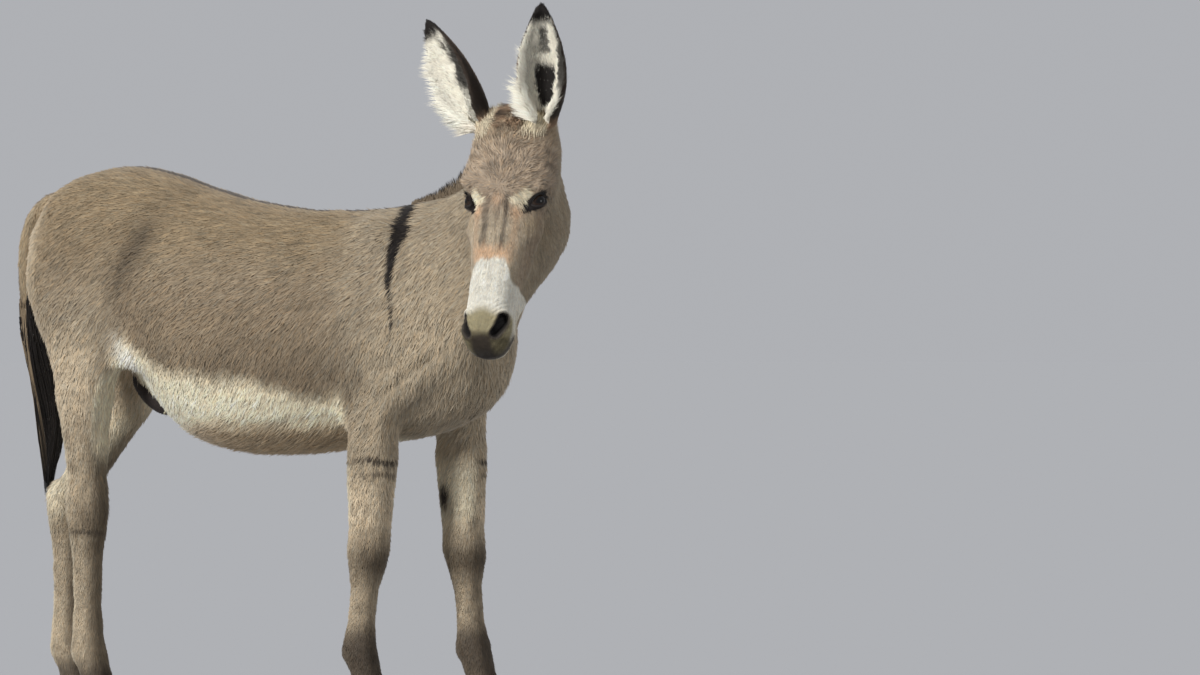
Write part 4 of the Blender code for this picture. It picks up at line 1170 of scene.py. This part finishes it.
def coat(skin):
    """All the short fur, in pieces by the part of the body that it grows on."""
    roots = coat_roots(skin)
    count = len(roots.places)
    length = hair_length(roots.places, roots.parts)
    streak = streaks(roots.places, roots.lie, 41)
    fine = rng.normal(size=count)
    # the way that it lies: a little unruly, more so on the crown and round the whorl
    angles = 0.16 * rng.normal(size=count) + 0.22 * noise(roots.places, 0.03, 42)
    on_head = roots.parts == PART["head"]
    down, out, left = on_face(roots.places)
    crown = on_head * smooth(0.22, 0.14, down) * smooth(-0.07, -0.04, out)
    angles += crown * 1.0 * noise(roots.places, 0.020, 43)
    whorl = on_head * bell(np.hypot(down - WHORL_DOWN, left), 0.026) * (out > -0.08)
    angles += whorl * (1.1 * noise(roots.places, 0.011, 47) + 0.5 * fine)
    roots = roots._replace(lie=turned(roots.lie, roots.normals, angles))
    # how far it stands up, and how long it is
    waved = np.stack([down, np.zeros(count), left * 0.35], axis=1)
    ripple = crown * noise(waved, 0.0065, 45)
    x, _y, z = on_body(roots.places)
    trunk = roots.parts == PART["trunk"]
    lift = 0.20 + 0.09 * streak + 0.05 * fine + 0.24 * ripple
    lift = np.clip(lift + trunk * 0.14 * under_belly(x, z) + crown * 0.12, 0.05, 0.6)
    long = length * np.clip(1 + 0.18 * rng.normal(size=count) + 0.12 * streak, 0.5, 1.6)
    # light and dark locks over the markings
    shade = 1 + np.where(trunk, 0.36, 0.24) * streak + 0.10 * rng.normal(size=count)
    shade += 0.55 * ripple
    shade += 0.07 * noise(roots.places, 0.07, 44) + 0.07 * noise(roots.places, 0.022, 46)
    warmth = 1 + 0.035 * rng.normal(size=(count, 1)) * np.array([1.0, 0.0, -1.2])
    colours = markings(roots.places, roots.normals, roots.parts)
    colours = colours * np.clip(shade, 0.40, 1.7)[:, None] * warmth
    made = []
    for piece, which, axis, centre in coat_pieces(roots):
        some = chosen(roots, which)
        inside = None
        if piece.startswith("coat_ear"):
            inside = ear_map(some.places, some.normals, piece.split("_")[-1])[2] > 0.5
        flat = unwrapped(some.places, axis, centre, inside)
        made.append(tufts(piece, some, long[which], tuft_width(length[which]), lift[which],
                          colours[which], flat))
    return made


# ---------------------------------------------------------------- long hair
MANE_DENSITY = 420000.0     # strands to the square metre
FORELOCK_DENSITY = 380000.0
EAR_HAIR_DENSITY = 245000.0
TAIL_STRANDS = 2300
LASHES = 70
# how wide the strands are at their thickest
MANE_WIDTH = 0.0021
FORELOCK_WIDTH = 0.0017
TAIL_WIDTH = 0.0026
EAR_HAIR_WIDTH = 0.0014
LASH_WIDTH = 0.0007
MANE_LEAST = 0.008          # no hair of the mane is shorter
OVER_MANE = 0.10            # above the skin, and clear of the mane's solid


def strand_taper(points):
    """Widths along a strand as parts of its full width."""
    part = np.linspace(0, 1, points)
    return (1 - part) ** 0.6 * (0.75 + 0.5 * np.sin(math.pi * part))


def uneven(full, count, least=0.8, spread_by=0.5):
    """A column of values round full, one for each strand."""
    return (full * (least + spread_by * rng.random(count)))[:, None]


def clumped(places, size, seed):
    """Noise in three directions, which draws hairs together into locks."""
    return np.stack([noise(places, size, seed + k) for k in range(3)], axis=1)


def along_strands(colours, tones):
    """Each strand's colour at its points, which differ by the tones."""
    return colours[:, None] * np.array(tones)[None, :, None]


def curved(roots, start, end, length, points):
    """Paths that set out one way and bend over to another."""
    part = np.linspace(0, 1, points)[None, :, None]
    way = start[:, None] * (part - part ** 2 / 2) + end[:, None] * (part ** 2 / 2)
    return roots[:, None] + way * length[:, None, None] * 1.15


def strands(name, paths, full_width, colours, unwrap, soft=None):
    """Closed tapering three-sided strands along paths of equally many points.

    paths is (strand, point, xyz), full_width has one row for each strand and colours is
    (strand, point, rgb). Each strand ends in a point. Where soft is given, one direction for
    each strand, they are shaded as the soft surface that faces that way.
    """
    count, points, _ = paths.shape
    widths = full_width * strand_taper(points)[None]
    ahead = np.empty_like(paths)
    ahead[:, 1:-1] = paths[:, 2:] - paths[:, :-2]
    ahead[:, 0] = paths[:, 1] - paths[:, 0]
    ahead[:, -1] = paths[:, -1] - paths[:, -2]
    ahead = unit(ahead.reshape(-1, 3)).reshape(paths.shape)
    guide = np.where(np.abs(ahead[:, :, 2:3]) > 0.9, [[[1.0, 0.0, 0.0]]], [[[0.0, 0.0, 1.0]]])
    side = unit(np.cross(ahead, guide).reshape(-1, 3)).reshape(paths.shape)
    over = np.cross(side, ahead)
    around = np.stack([side * math.cos(turn) + over * math.sin(turn)
                       for turn in (0.0, 2 * math.pi / 3, 4 * math.pi / 3)], axis=2)[:, :-1]
    rings = paths[:, :-1, None] + around * widths[:, :-1, None, None] / 2
    vertices = np.concatenate([rings.reshape(count, -1, 3), paths[:, -1:]], axis=1)
    tip = 3 * (points - 1)
    pattern = [[0, 1, 2]]
    for p in range(points - 2):
        for k in range(3):
            a, b = 3 * p + k, 3 * p + (k + 1) % 3
            pattern.extend([[a, b + 3, b], [a, a + 3, b + 3]])
    pattern.extend([[tip - 3 + k, tip, tip - 3 + (k + 1) % 3] for k in range(3)])
    bend = None
    if soft is not None:
        bend = around.reshape(count, -1, 3) * 0.5 + soft[:, None] * 0.9
        bend = np.concatenate([bend, soft[:, None]], axis=1)
    shades = np.concatenate([np.repeat(colours[:, :-1], 3, axis=1), colours[:, -1:]], axis=1)
    part = np.repeat(np.arange(points - 1) / (points - 1), 3)
    patch = np.stack([np.tile([0.0, 0.5, 1.0], points - 1), part], axis=1)
    patch = np.vstack([patch, [0.5, 1.0]])
    return hair_piece(name, vertices, pattern, shades, bend, unwrap, patch)


def mane_edge(roots, tree):
    """1 at the roots by the border of the mane, and 0 at those in its middle."""
    side = np.cross(roots.normals, roots.lie)
    edge = np.zeros(len(roots.places))
    for k, (place, normal) in enumerate(zip(roots.places, roots.normals)):
        for step in (0.009, -0.009):
            probe = Vector(place + side[k] * step + normal * OVER_MANE)
            if tree.ray_cast(probe, Vector(-normal), OVER_MANE - 0.005)[0] is None:
                edge[k] = 1.0
    return edge


def mane(skin):
    """Upright dark hair over the crest, as high at each root as the solid that it replaces."""
    mesh = NODES["mane"].data
    tree = BVHTree.FromPolygons(places_of(mesh).tolist(), triangles_of(mesh).tolist())
    low, high = (array(corner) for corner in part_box("mane"))
    near = np.all((skin.middles > low - 0.02) & (skin.middles < high + 0.02), axis=1)
    roots = skin.scatter(np.where(near, MANE_DENSITY, 0.0))
    heights = np.zeros(len(roots.places))
    for k, (place, normal) in enumerate(zip(roots.places, roots.normals)):
        hit = tree.ray_cast(Vector(place + normal * OVER_MANE), Vector(-normal), OVER_MANE)
        if hit[0] is not None:
            heights[k] = OVER_MANE - hit[3]
    roots = chosen(roots, heights > MANE_LEAST)
    count = len(roots.places)
    lengths = heights[heights > MANE_LEAST] * (0.9 + 0.16 * rng.random(count)) * 0.92
    clump = clumped(roots.places, 0.012, 51)
    start = unit(roots.normals + 0.12 * clump)
    end = unit(roots.normals + 0.35 * clump - roots.lie * 0.10)
    paths = curved(roots.places - roots.normals * 0.004, start, end, lengths, 4)
    widths = uneven(MANE_WIDTH, count)
    tone = np.clip(0.9 + 0.3 * clump[:, :1] + 0.25 * rng.normal(size=(count, 1)), 0.4, 2)
    colour = lay(BLACK * 1.4 * tone, (BROWN, 0.75 * mane_edge(roots, tree)))
    flat = unwrapped(roots.places, high - low, (low + high) / 2)
    return strands("mane_hair", paths, widths, along_strands(colour, (0.7, 1.0, 1.1, 1.2)), flat)


def forelock(skin):
    """Hair on the poll between the ears, and paler tufts before the foot of each ear."""
    down, out, left = on_face(skin.middles)
    head = skin.face_parts == PART["head"]
    poll = head * bell(down - 0.010, 0.028) * bell(left, 0.034) * (out > -0.10)
    foot = np.zeros(len(down))
    for side in SIDES.values():
        rel = skin.middles - array(head_point(0.045, -0.012, side * 0.062))
        foot = np.maximum(foot, bell(np.linalg.norm(rel, axis=1), 0.020) * head)
    roots = skin.scatter(FORELOCK_DENSITY * np.maximum(poll, foot * 0.8))
    count = len(roots.places)
    down, out, left = on_face(roots.places)
    at_foot = smooth(0.026, 0.040, np.abs(left))
    low = at_foot[:, None]
    clump = clumped(roots.places, 0.012, 71)
    aside = np.sign(left)[:, None] * array(HEAD_LEFT)
    up = -array(DOWN_FACE) * 0.9 + array(OUT_OF_FACE) * 0.4
    start = unit(roots.normals * (1 - 0.6 * low) + 0.3 * clump + (0.5 + 0.5 * low) * up)
    fall = mix(array(DOWN_FACE) * 0.7 + array(OUT_OF_FACE) * 0.6, up, low)
    end = unit(fall + 0.5 * clump + 0.4 * aside)
    length = mix(0.026, 0.015, at_foot) * (0.7 + 0.5 * rng.random(count))
    paths = curved(roots.places - roots.normals * 0.001, start, end, length, 3)
    widths = uneven(FORELOCK_WIDTH, count)
    colour = lay(DARK * 0.9,
                 (RUST * 0.6, 0.5 + 0.6 * clump[:, 0]),
                 (CREAM, 0.85 * at_foot + 0.3 * clump[:, 1]))
    colour = colour * np.clip(1 + 0.2 * rng.normal(size=(count, 1)), 0.5, 1.5)
    flat = unwrapped(roots.places, HEAD_LEFT, array(head_point(0.03, -0.06, 0.0)))
    return strands("forelock", paths, widths, along_strands(colour, (1, 1, 1)), flat,
                   roots.normals)


def switch_rings(levels):
    """The middle and the half size of the tail switch's solid at each level."""
    mesh = NODES["tail_switch"].data
    a, b = (places_of(mesh)[ends] for ends in edges_of(mesh).T)
    middles, halves = [], []
    for level in levels:
        part = (level - a[:, 2]) / np.where(a[:, 2] == b[:, 2], 1.0, b[:, 2] - a[:, 2])
        cut = (part > 0) & (part < 1) & (a[:, 2] != b[:, 2])
        ring = (a + (b - a) * part[:, None])[cut]
        middles.append((ring.min(axis=0) + ring.max(axis=0)) / 2)
        halves.append((ring.max(axis=0) - ring.min(axis=0)) / 2)
    return np.array(middles), np.array(halves)


def tail(points=8, count=TAIL_STRANDS):
    """Long dark hair down the switch's own solid, from its top to its tip."""
    places = places_of(NODES["tail_switch"].data)
    low, high = places[:, 2].min(), places[:, 2].max()
    levels = np.linspace(high - 0.002, low + 0.002, 14)
    middles, halves = switch_rings(levels)
    turn = rng.random(count) * 2 * math.pi
    spot = np.sqrt(rng.random(count)) * 0.88
    start = high + 0.050 - 0.14 * rng.random(count)
    end = low - 0.045 + 0.20 * rng.random(count) ** 1.6
    part = np.linspace(0, 1, points)
    heights = start[:, None] + (end - start)[:, None] * part[None]
    gather = 0.80 + 0.48 * smooth(high + 0.05, high - 0.08, heights) - 0.35 * part[None] ** 3
    paths = [heights]
    for axis, across in enumerate((np.cos(turn), np.sin(turn))):
        centre = np.interp(-heights, -levels, middles[:, axis])
        half = np.interp(-heights, -levels, halves[:, axis])
        wave = 0.003 * np.sin(part[None] * 7 + turn[:, None] * 3 + axis)
        paths.insert(axis, centre + half * gather * (across * spot)[:, None] + wave)
    widths = uneven(TAIL_WIDTH, count, 0.7, 0.6)
    tone = np.clip(1.0 + 0.3 * rng.normal(size=(count, 1)), 0.4, 2.0)
    fringe = (spot > 0.60) & (np.cos(turn) < 0.0) & (rng.random(count) < 0.6)
    light = np.where(fringe[:, None], smooth(1.0, 0.35, part)[None], 0.0)[:, :, None]
    colours = mix((BLACK * 1.15 * tone)[:, None], BROWN * 1.1, light)
    flat = np.stack([turn / (2 * math.pi), spot], axis=1) * (MAP_SPAN - PATCH) + MAP_EDGE
    return strands("tail_hair", np.stack(paths, axis=2), widths, colours, flat)


def ear_hair(skin, side_name):
    """Long pale hair inside an ear, thick along its edges and at its foot."""
    ear = EAR_FRAMES[side_name]
    normals = skin.soft[skin.triangles[:, 0]]
    along, turn, inside = ear_map(skin.middles, normals, side_name)
    back_edge = smooth(-50, -58, turn) * smooth(0.42, 0.15, along)
    here = np.maximum(inside > 0.5, back_edge) * (along > 0) * (along < 0.93)
    here = here * (skin.face_parts == PART["ear_" + side_name])
    full = 1 - 0.985 * ear_hollow(along, turn, skin.middles)
    roots = skin.scatter(EAR_HAIR_DENSITY * full * here)
    count = len(roots.places)
    along, turn, inside = ear_map(roots.places, roots.normals, side_name)
    edge = smooth(35, 75, np.abs(turn))
    hollow = ear_hollow(along, turn, roots.places)
    length = (0.014 + 0.014 * edge * smooth(0.85, 0.45, along)
              + 0.009 * smooth(0.25, 0.05, along)) * (0.7 + 0.6 * rng.random(count))
    length = length * (1 - 0.5 * hollow) * (1 - 0.40 * smooth(0.74, 0.90, along))
    edge = edge * (1 - 0.85 * smooth(0.72, 0.88, along))
    outwards = (edge * np.sign(turn))[:, None] * ear.across
    spray = 0.16 * rng.normal(size=(count, 3))
    clump = clumped(roots.places, 0.010, 61) * 0.35
    start = unit(roots.normals * 0.8 + ear.axis * 0.5 + 0.3 * ear.toward + clump)
    end = unit(ear.axis * 0.75 + outwards + ear.toward * 0.55 + spray + clump)
    paths = curved(roots.places - roots.normals * 0.001, start, end, length, 3)
    widths = uneven(EAR_HAIR_WIDTH, count)
    tone = np.clip(0.96 + 0.07 * rng.normal(size=(count, 1)) + 0.3 * clump[:, :1], 0.6, 1.15)
    pale = 0.8 * (1 - dark_rim(along, turn)) * (1 - 0.75 * hollow)
    colour = lay(ear_colours(roots.places, roots.normals, side_name), (WHITE, pale))
    colour = lay(colour * tone * 1.2, (BLACK * 1.3, smooth(0.80, 0.88, along)))
    flat = unwrapped(roots.places, ear.axis, ear_centre(ear))
    soft = unit(roots.normals + ear.toward * 0.8)
    return strands("ear_hair_" + side_name, paths, widths, along_strands(colour, (0.8, 1, 1)),
                   flat, soft)


def lashes(side_name, count=LASHES):
    """The upper lid's lashes."""
    outward, along, across = eye_axes(SIDES[side_name])
    part = np.linspace(-0.80, 0.86, count)
    x = part * LID_HALF_LENGTH
    radius = (LID_HALF_LENGTH ** 2 + UPPER_LID_RISE ** 2) / (2 * UPPER_LID_RISE)
    y = np.sqrt(radius ** 2 - x ** 2) - (radius - UPPER_LID_RISE)
    y = y + LID_BOW * (x / LID_HALF_LENGTH) ** 2 + 0.0008
    turn, rise = x / EYE_RADIUS, y / EYE_RADIUS
    ball = (outward * (np.cos(rise) * np.cos(turn))[:, None]
            + along * (np.cos(rise) * np.sin(turn))[:, None] + across * np.sin(rise)[:, None])
    roots = array(EYES[side_name]) + ball * (EYE_RADIUS + LID_THICKNESS * 0.5)
    spray = 0.12 * rng.normal(size=(count, 3))
    start = unit(ball - across * 0.35 + along * (0.25 * part)[:, None] + spray)
    end = unit(ball + across * 0.1 + along * (0.5 * part)[:, None] + spray)
    paths = curved(roots, start, end, 0.010 + 0.004 * rng.random(count), 5)
    flat = np.stack([np.linspace(0.01, 0.98, count), np.full(count, 0.5)], axis=1)
    return strands("lashes_" + side_name, paths, np.full((count, 1), LASH_WIDTH),
                   np.tile(BLACK, (count, 5, 1)), flat)


# ---------------------------------------------------------------- eyes
EYE_BROWN = rgb(48, 36, 28)
IRIS = rgb(40, 26, 17)
PUPIL = rgb(9, 7, 7)
EYE_BULGE = 0.035           # of the clear front, as a part of the radius
EYE_TURNS, EYE_RINGS = 64, 39


def eyeball(side_name):
    """A ball with a clear bulge over its dark, level pupil."""
    outward, along, across = eye_axes(SIDES[side_name])
    middle = array(EYES[side_name])
    turn = np.linspace(0, 2 * math.pi, EYE_TURNS, endpoint=False)[:, None]
    around = np.cross(across, outward) * np.cos(turn) + across * np.sin(turn)
    rings = []
    for rise in np.linspace(-math.pi / 2, math.pi / 2, EYE_RINGS + 2)[1:-1]:
        radius = EYE_RADIUS * (1 + EYE_BULGE * smooth(0.72, 0.93, math.sin(rise)))
        rings.append(middle + (outward * math.sin(rise) + around * math.cos(rise)) * radius)
    mesh = closed_tube("eyeball_" + side_name, rings, middle - outward * EYE_RADIUS,
                       middle + outward * EYE_RADIUS * (1 + EYE_BULGE))
    rel = (places_of(mesh) - middle) / EYE_RADIUS
    x, y, z = rel @ along, rel @ across, rel @ outward
    paint(mesh, lay(EYE_BROWN,
                    (IRIS, smooth(0.84, 0.74, np.hypot(x, y)) * (z > 0)),
                    (PUPIL, smooth(0.66, 0.52, np.hypot(x * 0.85, y * 1.7)))))
    return add("eyeball_" + side_name, mesh)


# ---------------------------------------------------------------- hooves
HOOF_TURNS, HOOF_RINGS = 56, 26
HOOF_TOP = 0.86             # the size of its top, against its sole
TOE_ROUND, HEEL_ROUND = 2.1, 2.7        # 2 is an ellipse, and more is squarer
HOOF_LEAN = 0.012           # of its top, back from its sole
HOOF_INSET = 0.0012         # of the horn, inside the solid that it replaces
HOOF_CREASE = math.radians(50)          # an edge that turns more than this is sharp


def hoof(node):
    """The horn of a hoof: growth rings, a rounded toe, straighter heels, and a flat sole."""
    low, high = (array(corner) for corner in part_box(node))
    middle, half = (low + high) / 2, (high - low) / 2
    turn = np.linspace(0, 2 * math.pi, HOOF_TURNS, endpoint=False)
    power = np.where(np.cos(turn) >= 0, TOE_ROUND, HEEL_ROUND)
    x, y = (np.sign(way) * np.abs(way) ** (2 / power) for way in (np.cos(turn), np.sin(turn)))
    rings = []
    for part in np.linspace(0, 1, HOOF_RINGS):
        growth = 0.0005 * math.sin(part * 58) + 0.0004 * math.sin(part * 23 + 1)
        crown = -0.0060 * float(smooth(0.84, 1.0, part))
        edge = -0.0030 * float(smooth(0.05, 0.0, part))
        size = mix(1.0, HOOF_TOP, part) + (growth + crown + edge - HOOF_INSET) / half[0]
        rings.append(np.stack([middle[0] - HOOF_LEAN * part + x * half[0] * size,
                               middle[1] + y * half[1] * size,
                               np.full(HOOF_TURNS, mix(low[2], high[2], part))], axis=1))
    mesh = closed_tube("horn_" + node, rings, (middle[0], middle[1], low[2]),
                       (middle[0] - HOOF_LEAN, middle[1], high[2]))
    mesh.set_sharp_from_angle(angle=HOOF_CREASE)
    return add("horn_" + node, mesh)


# ---------------------------------------------------------------- materials
def new_material(name, roughness, specular):
    """A material, its node tree and its shader."""
    made = bpy.data.materials.new(name)
    made.use_nodes = True
    shader = made.node_tree.nodes["Principled BSDF"]
    shader.inputs["Roughness"].default_value = roughness
    shader.inputs["Specular IOR Level"].default_value = specular
    return made, made.node_tree, shader


def node(tree, kind, **values):
    """A new node, with values for its inputs or its own settings."""
    made = tree.nodes.new(kind)
    for name, value in values.items():
        if name in made.inputs:
            made.inputs[name].default_value = value
        else:
            setattr(made, name, value)
    return made


def painted(tree):
    """The colours that paint() gave the mesh."""
    return node(tree, "ShaderNodeVertexColor", layer_name="hair_colour").outputs["Color"]


def grained(tree, shader, grains, strength, distance):
    """Bump from the sum of two noises; gives the first of them.

    Each of grains is the stretch of the mesh's own axes, then the noise's scale, detail and
    roughness.
    """
    place = node(tree, "ShaderNodeTexCoord")
    both = node(tree, "ShaderNodeMath", operation="ADD")
    made = []
    for total, (stretch, scale, detail, roughness) in zip(both.inputs, grains):
        mapped = node(tree, "ShaderNodeMapping", Scale=stretch)
        texture = node(tree, "ShaderNodeTexNoise", Scale=scale, Detail=detail,
                       Roughness=roughness)
        tree.links.new(place.outputs["Object"], mapped.inputs["Vector"])
        tree.links.new(mapped.outputs[0], texture.inputs["Vector"])
        tree.links.new(texture.outputs["Fac"], total)
        made.append(texture.outputs["Fac"])
    bump = node(tree, "ShaderNodeBump", Strength=strength, Distance=distance)
    tree.links.new(both.outputs[0], bump.inputs["Height"])
    tree.links.new(bump.outputs["Normal"], shader.inputs["Normal"])
    return made[0]


def coat_material():
    made, tree, shader = new_material("coat_hair", 0.78, 0.28)
    tree.links.new(painted(tree), shader.inputs["Base Color"])
    shader.inputs["Sheen Weight"].default_value = 0.12
    shader.inputs["Sheen Roughness"].default_value = 0.5
    return made


def skin_material():
    """The skin under the tufts, in their colours, with a grain as fine as lying hair."""
    made, tree, shader = new_material("skin", 0.72, 0.35)
    fine = grained(tree, shader, (((1, 1, 1), 420.0, 4.0, 0.7), ((1, 1, 1), 90.0, 3.0, 0.5)),
                   0.5, 0.0012)
    grain = node(tree, "ShaderNodeMapRange", **{"To Min": 0.72, "To Max": 1.18})
    tree.links.new(fine, grain.inputs["Value"])
    shaded = node(tree, "ShaderNodeMix", data_type="RGBA", blend_type="MULTIPLY")
    part, first, second, colour = (shaded.inputs[0], shaded.inputs[6], shaded.inputs[7],
                                   shaded.outputs[2])
    part.default_value = 1.0
    tree.links.new(painted(tree), first)
    tree.links.new(grain.outputs[0], second)
    tree.links.new(colour, shader.inputs["Base Color"])
    return made


def eye_material():
    made, tree, shader = new_material("eye", 0.05, 0.3)
    tree.links.new(painted(tree), shader.inputs["Base Color"])
    return made


def horn_material():
    """Dark grey horn with fine upright lines and level growth rings."""
    made, tree, shader = new_material("hoof_horn", 0.65, 0.3)
    lines = grained(tree, shader, (((1, 1, 0.05), 260.0, 4.0, 0.5),
                                   ((0.06, 0.06, 1), 260.0, 2.0, 0.5)), 0.25, 0.0006)
    ramp = node(tree, "ShaderNodeValToRGB")
    shades = ((0.30, rgb(52, 47, 43)), (0.75, rgb(92, 83, 74)))
    for element, (position, colour) in zip(ramp.color_ramp.elements, shades):
        element.position = position
        element.color = (*colour, 1.0)
    tree.links.new(lines, ramp.inputs["Fac"])
    tree.links.new(ramp.outputs["Color"], shader.inputs["Base Color"])
    return made


# ---------------------------------------------------------------- studio
CAMERA_AZIMUTH = math.radians(27)
CAMERA_DISTANCE = 30.0
SENSOR_WIDTH = 36.0
CLIP_END = 1000
VIEW_WIDTH = 2.586          # of the picture, at the distance of the withers
VIEW_MIDDLE = (0.431, 0.824)            # to the right of the withers, and above the ground
# name, degrees to the camera's right and above the level, strength, degrees across
SUNS = (("key", -46, 20, 2.75, 12), ("fill", 62, 10, 0.3, 22), ("back", 190, 40, 0.9, 30))
SUN_AWAY = 4                # how far off each sun's lamp stands
SKY_COLOUR = (0.93, 0.95, 1.0, 1.0)
SKY_STRENGTH = 0.46
FLOOR_COLOUR = (0.4627, 0.468, 0.4807, 1.0)
FLOOR_CORNERS = np.array([(-400.0, -400.0, 0.0), (400.0, -400.0, 0.0), (400.0, 400.0, 0.0),
                          (-400.0, 400.0, 0.0)])


def studio():
    """The camera, three suns, a pale sky and a wide floor."""
    right = Vector((math.cos(CAMERA_AZIMUTH), math.sin(CAMERA_AZIMUTH), 0))
    back = Vector((math.sin(CAMERA_AZIMUTH), -math.cos(CAMERA_AZIMUTH), 0))
    target = Vector((WITHERS_X, MID_Y, VIEW_MIDDLE[1])) + right * VIEW_MIDDLE[0]
    camera = bpy.data.cameras.new("camera")
    camera.sensor_width = SENSOR_WIDTH
    camera.lens = SENSOR_WIDTH * CAMERA_DISTANCE / VIEW_WIDTH
    camera.clip_end = CLIP_END
    seen = add("camera", camera)
    seen.location = target + back * CAMERA_DISTANCE
    seen.rotation_euler = (math.pi / 2, 0, CAMERA_AZIMUTH)
    scene = bpy.context.scene
    scene.camera = seen
    for name, turn, rise, power, across in SUNS:
        light = bpy.data.lights.new(name, "SUN")
        light.angle = math.radians(across)
        light.energy = power
        azimuth, height = CAMERA_AZIMUTH + math.radians(turn), math.radians(rise)
        way = Vector((math.sin(azimuth) * math.cos(height), -math.cos(azimuth) * math.cos(height),
                      math.sin(height)))
        thing = add(name, light)
        thing.location = way * SUN_AWAY
        thing.rotation_euler = way.to_track_quat("Z", "Y").to_euler()
    scene.world = bpy.data.worlds.new("studio")
    scene.world.use_nodes = True
    sky = scene.world.node_tree.nodes["Background"]
    sky.inputs["Color"].default_value = SKY_COLOUR
    sky.inputs["Strength"].default_value = SKY_STRENGTH
    scene.view_settings.view_transform = "Standard"
    floor = mesh_of("floor", FLOOR_CORNERS, np.array([[0, 1, 2, 3]]))
    made, _tree, shader = new_material("floor", 1.0, 0.0)
    shader.inputs["Base Color"].default_value = FLOOR_COLOUR
    floor.materials.append(made)
    add("floor", floor)


# ---------------------------------------------------------------- the donkey
def dress(thing, material, slot, *nodes):
    """Gives a piece its material and the root body, and hides the nodes of the CAD body that it
    replaces.
    """
    thing.data.materials.append(material)
    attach(thing, "root")
    if nodes:
        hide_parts(*nodes)


def donkey():
    skin = Skin(make_skin())
    paint(skin.mesh, markings(skin.places, skin.normals, skin.parts))
    dress(add("skin", skin.mesh), skin_material(), "coat", *PARTS)
    fur, eye, horn = coat_material(), eye_material(), horn_material()
    for piece in coat(skin):
        dress(piece, fur, "coat")
    dress(mane(skin), fur, "dark_hair", "mane")
    dress(tail(), fur, "dark_hair", "tail_switch")
    dress(forelock(skin), fur, "dark_hair")
    for side_name in SIDES:
        dress(ear_hair(skin, side_name), fur, "coat")
        dress(lashes(side_name), fur, "dark_hair")
        dress(eyeball(side_name), eye, "eye", "eye_" + side_name)
        for kind in ("fore", "hind"):
            hoof_node = f"hoof_{kind}_{side_name}"
            dress(hoof(hoof_node), horn, "horn", hoof_node)


donkey()
studio()
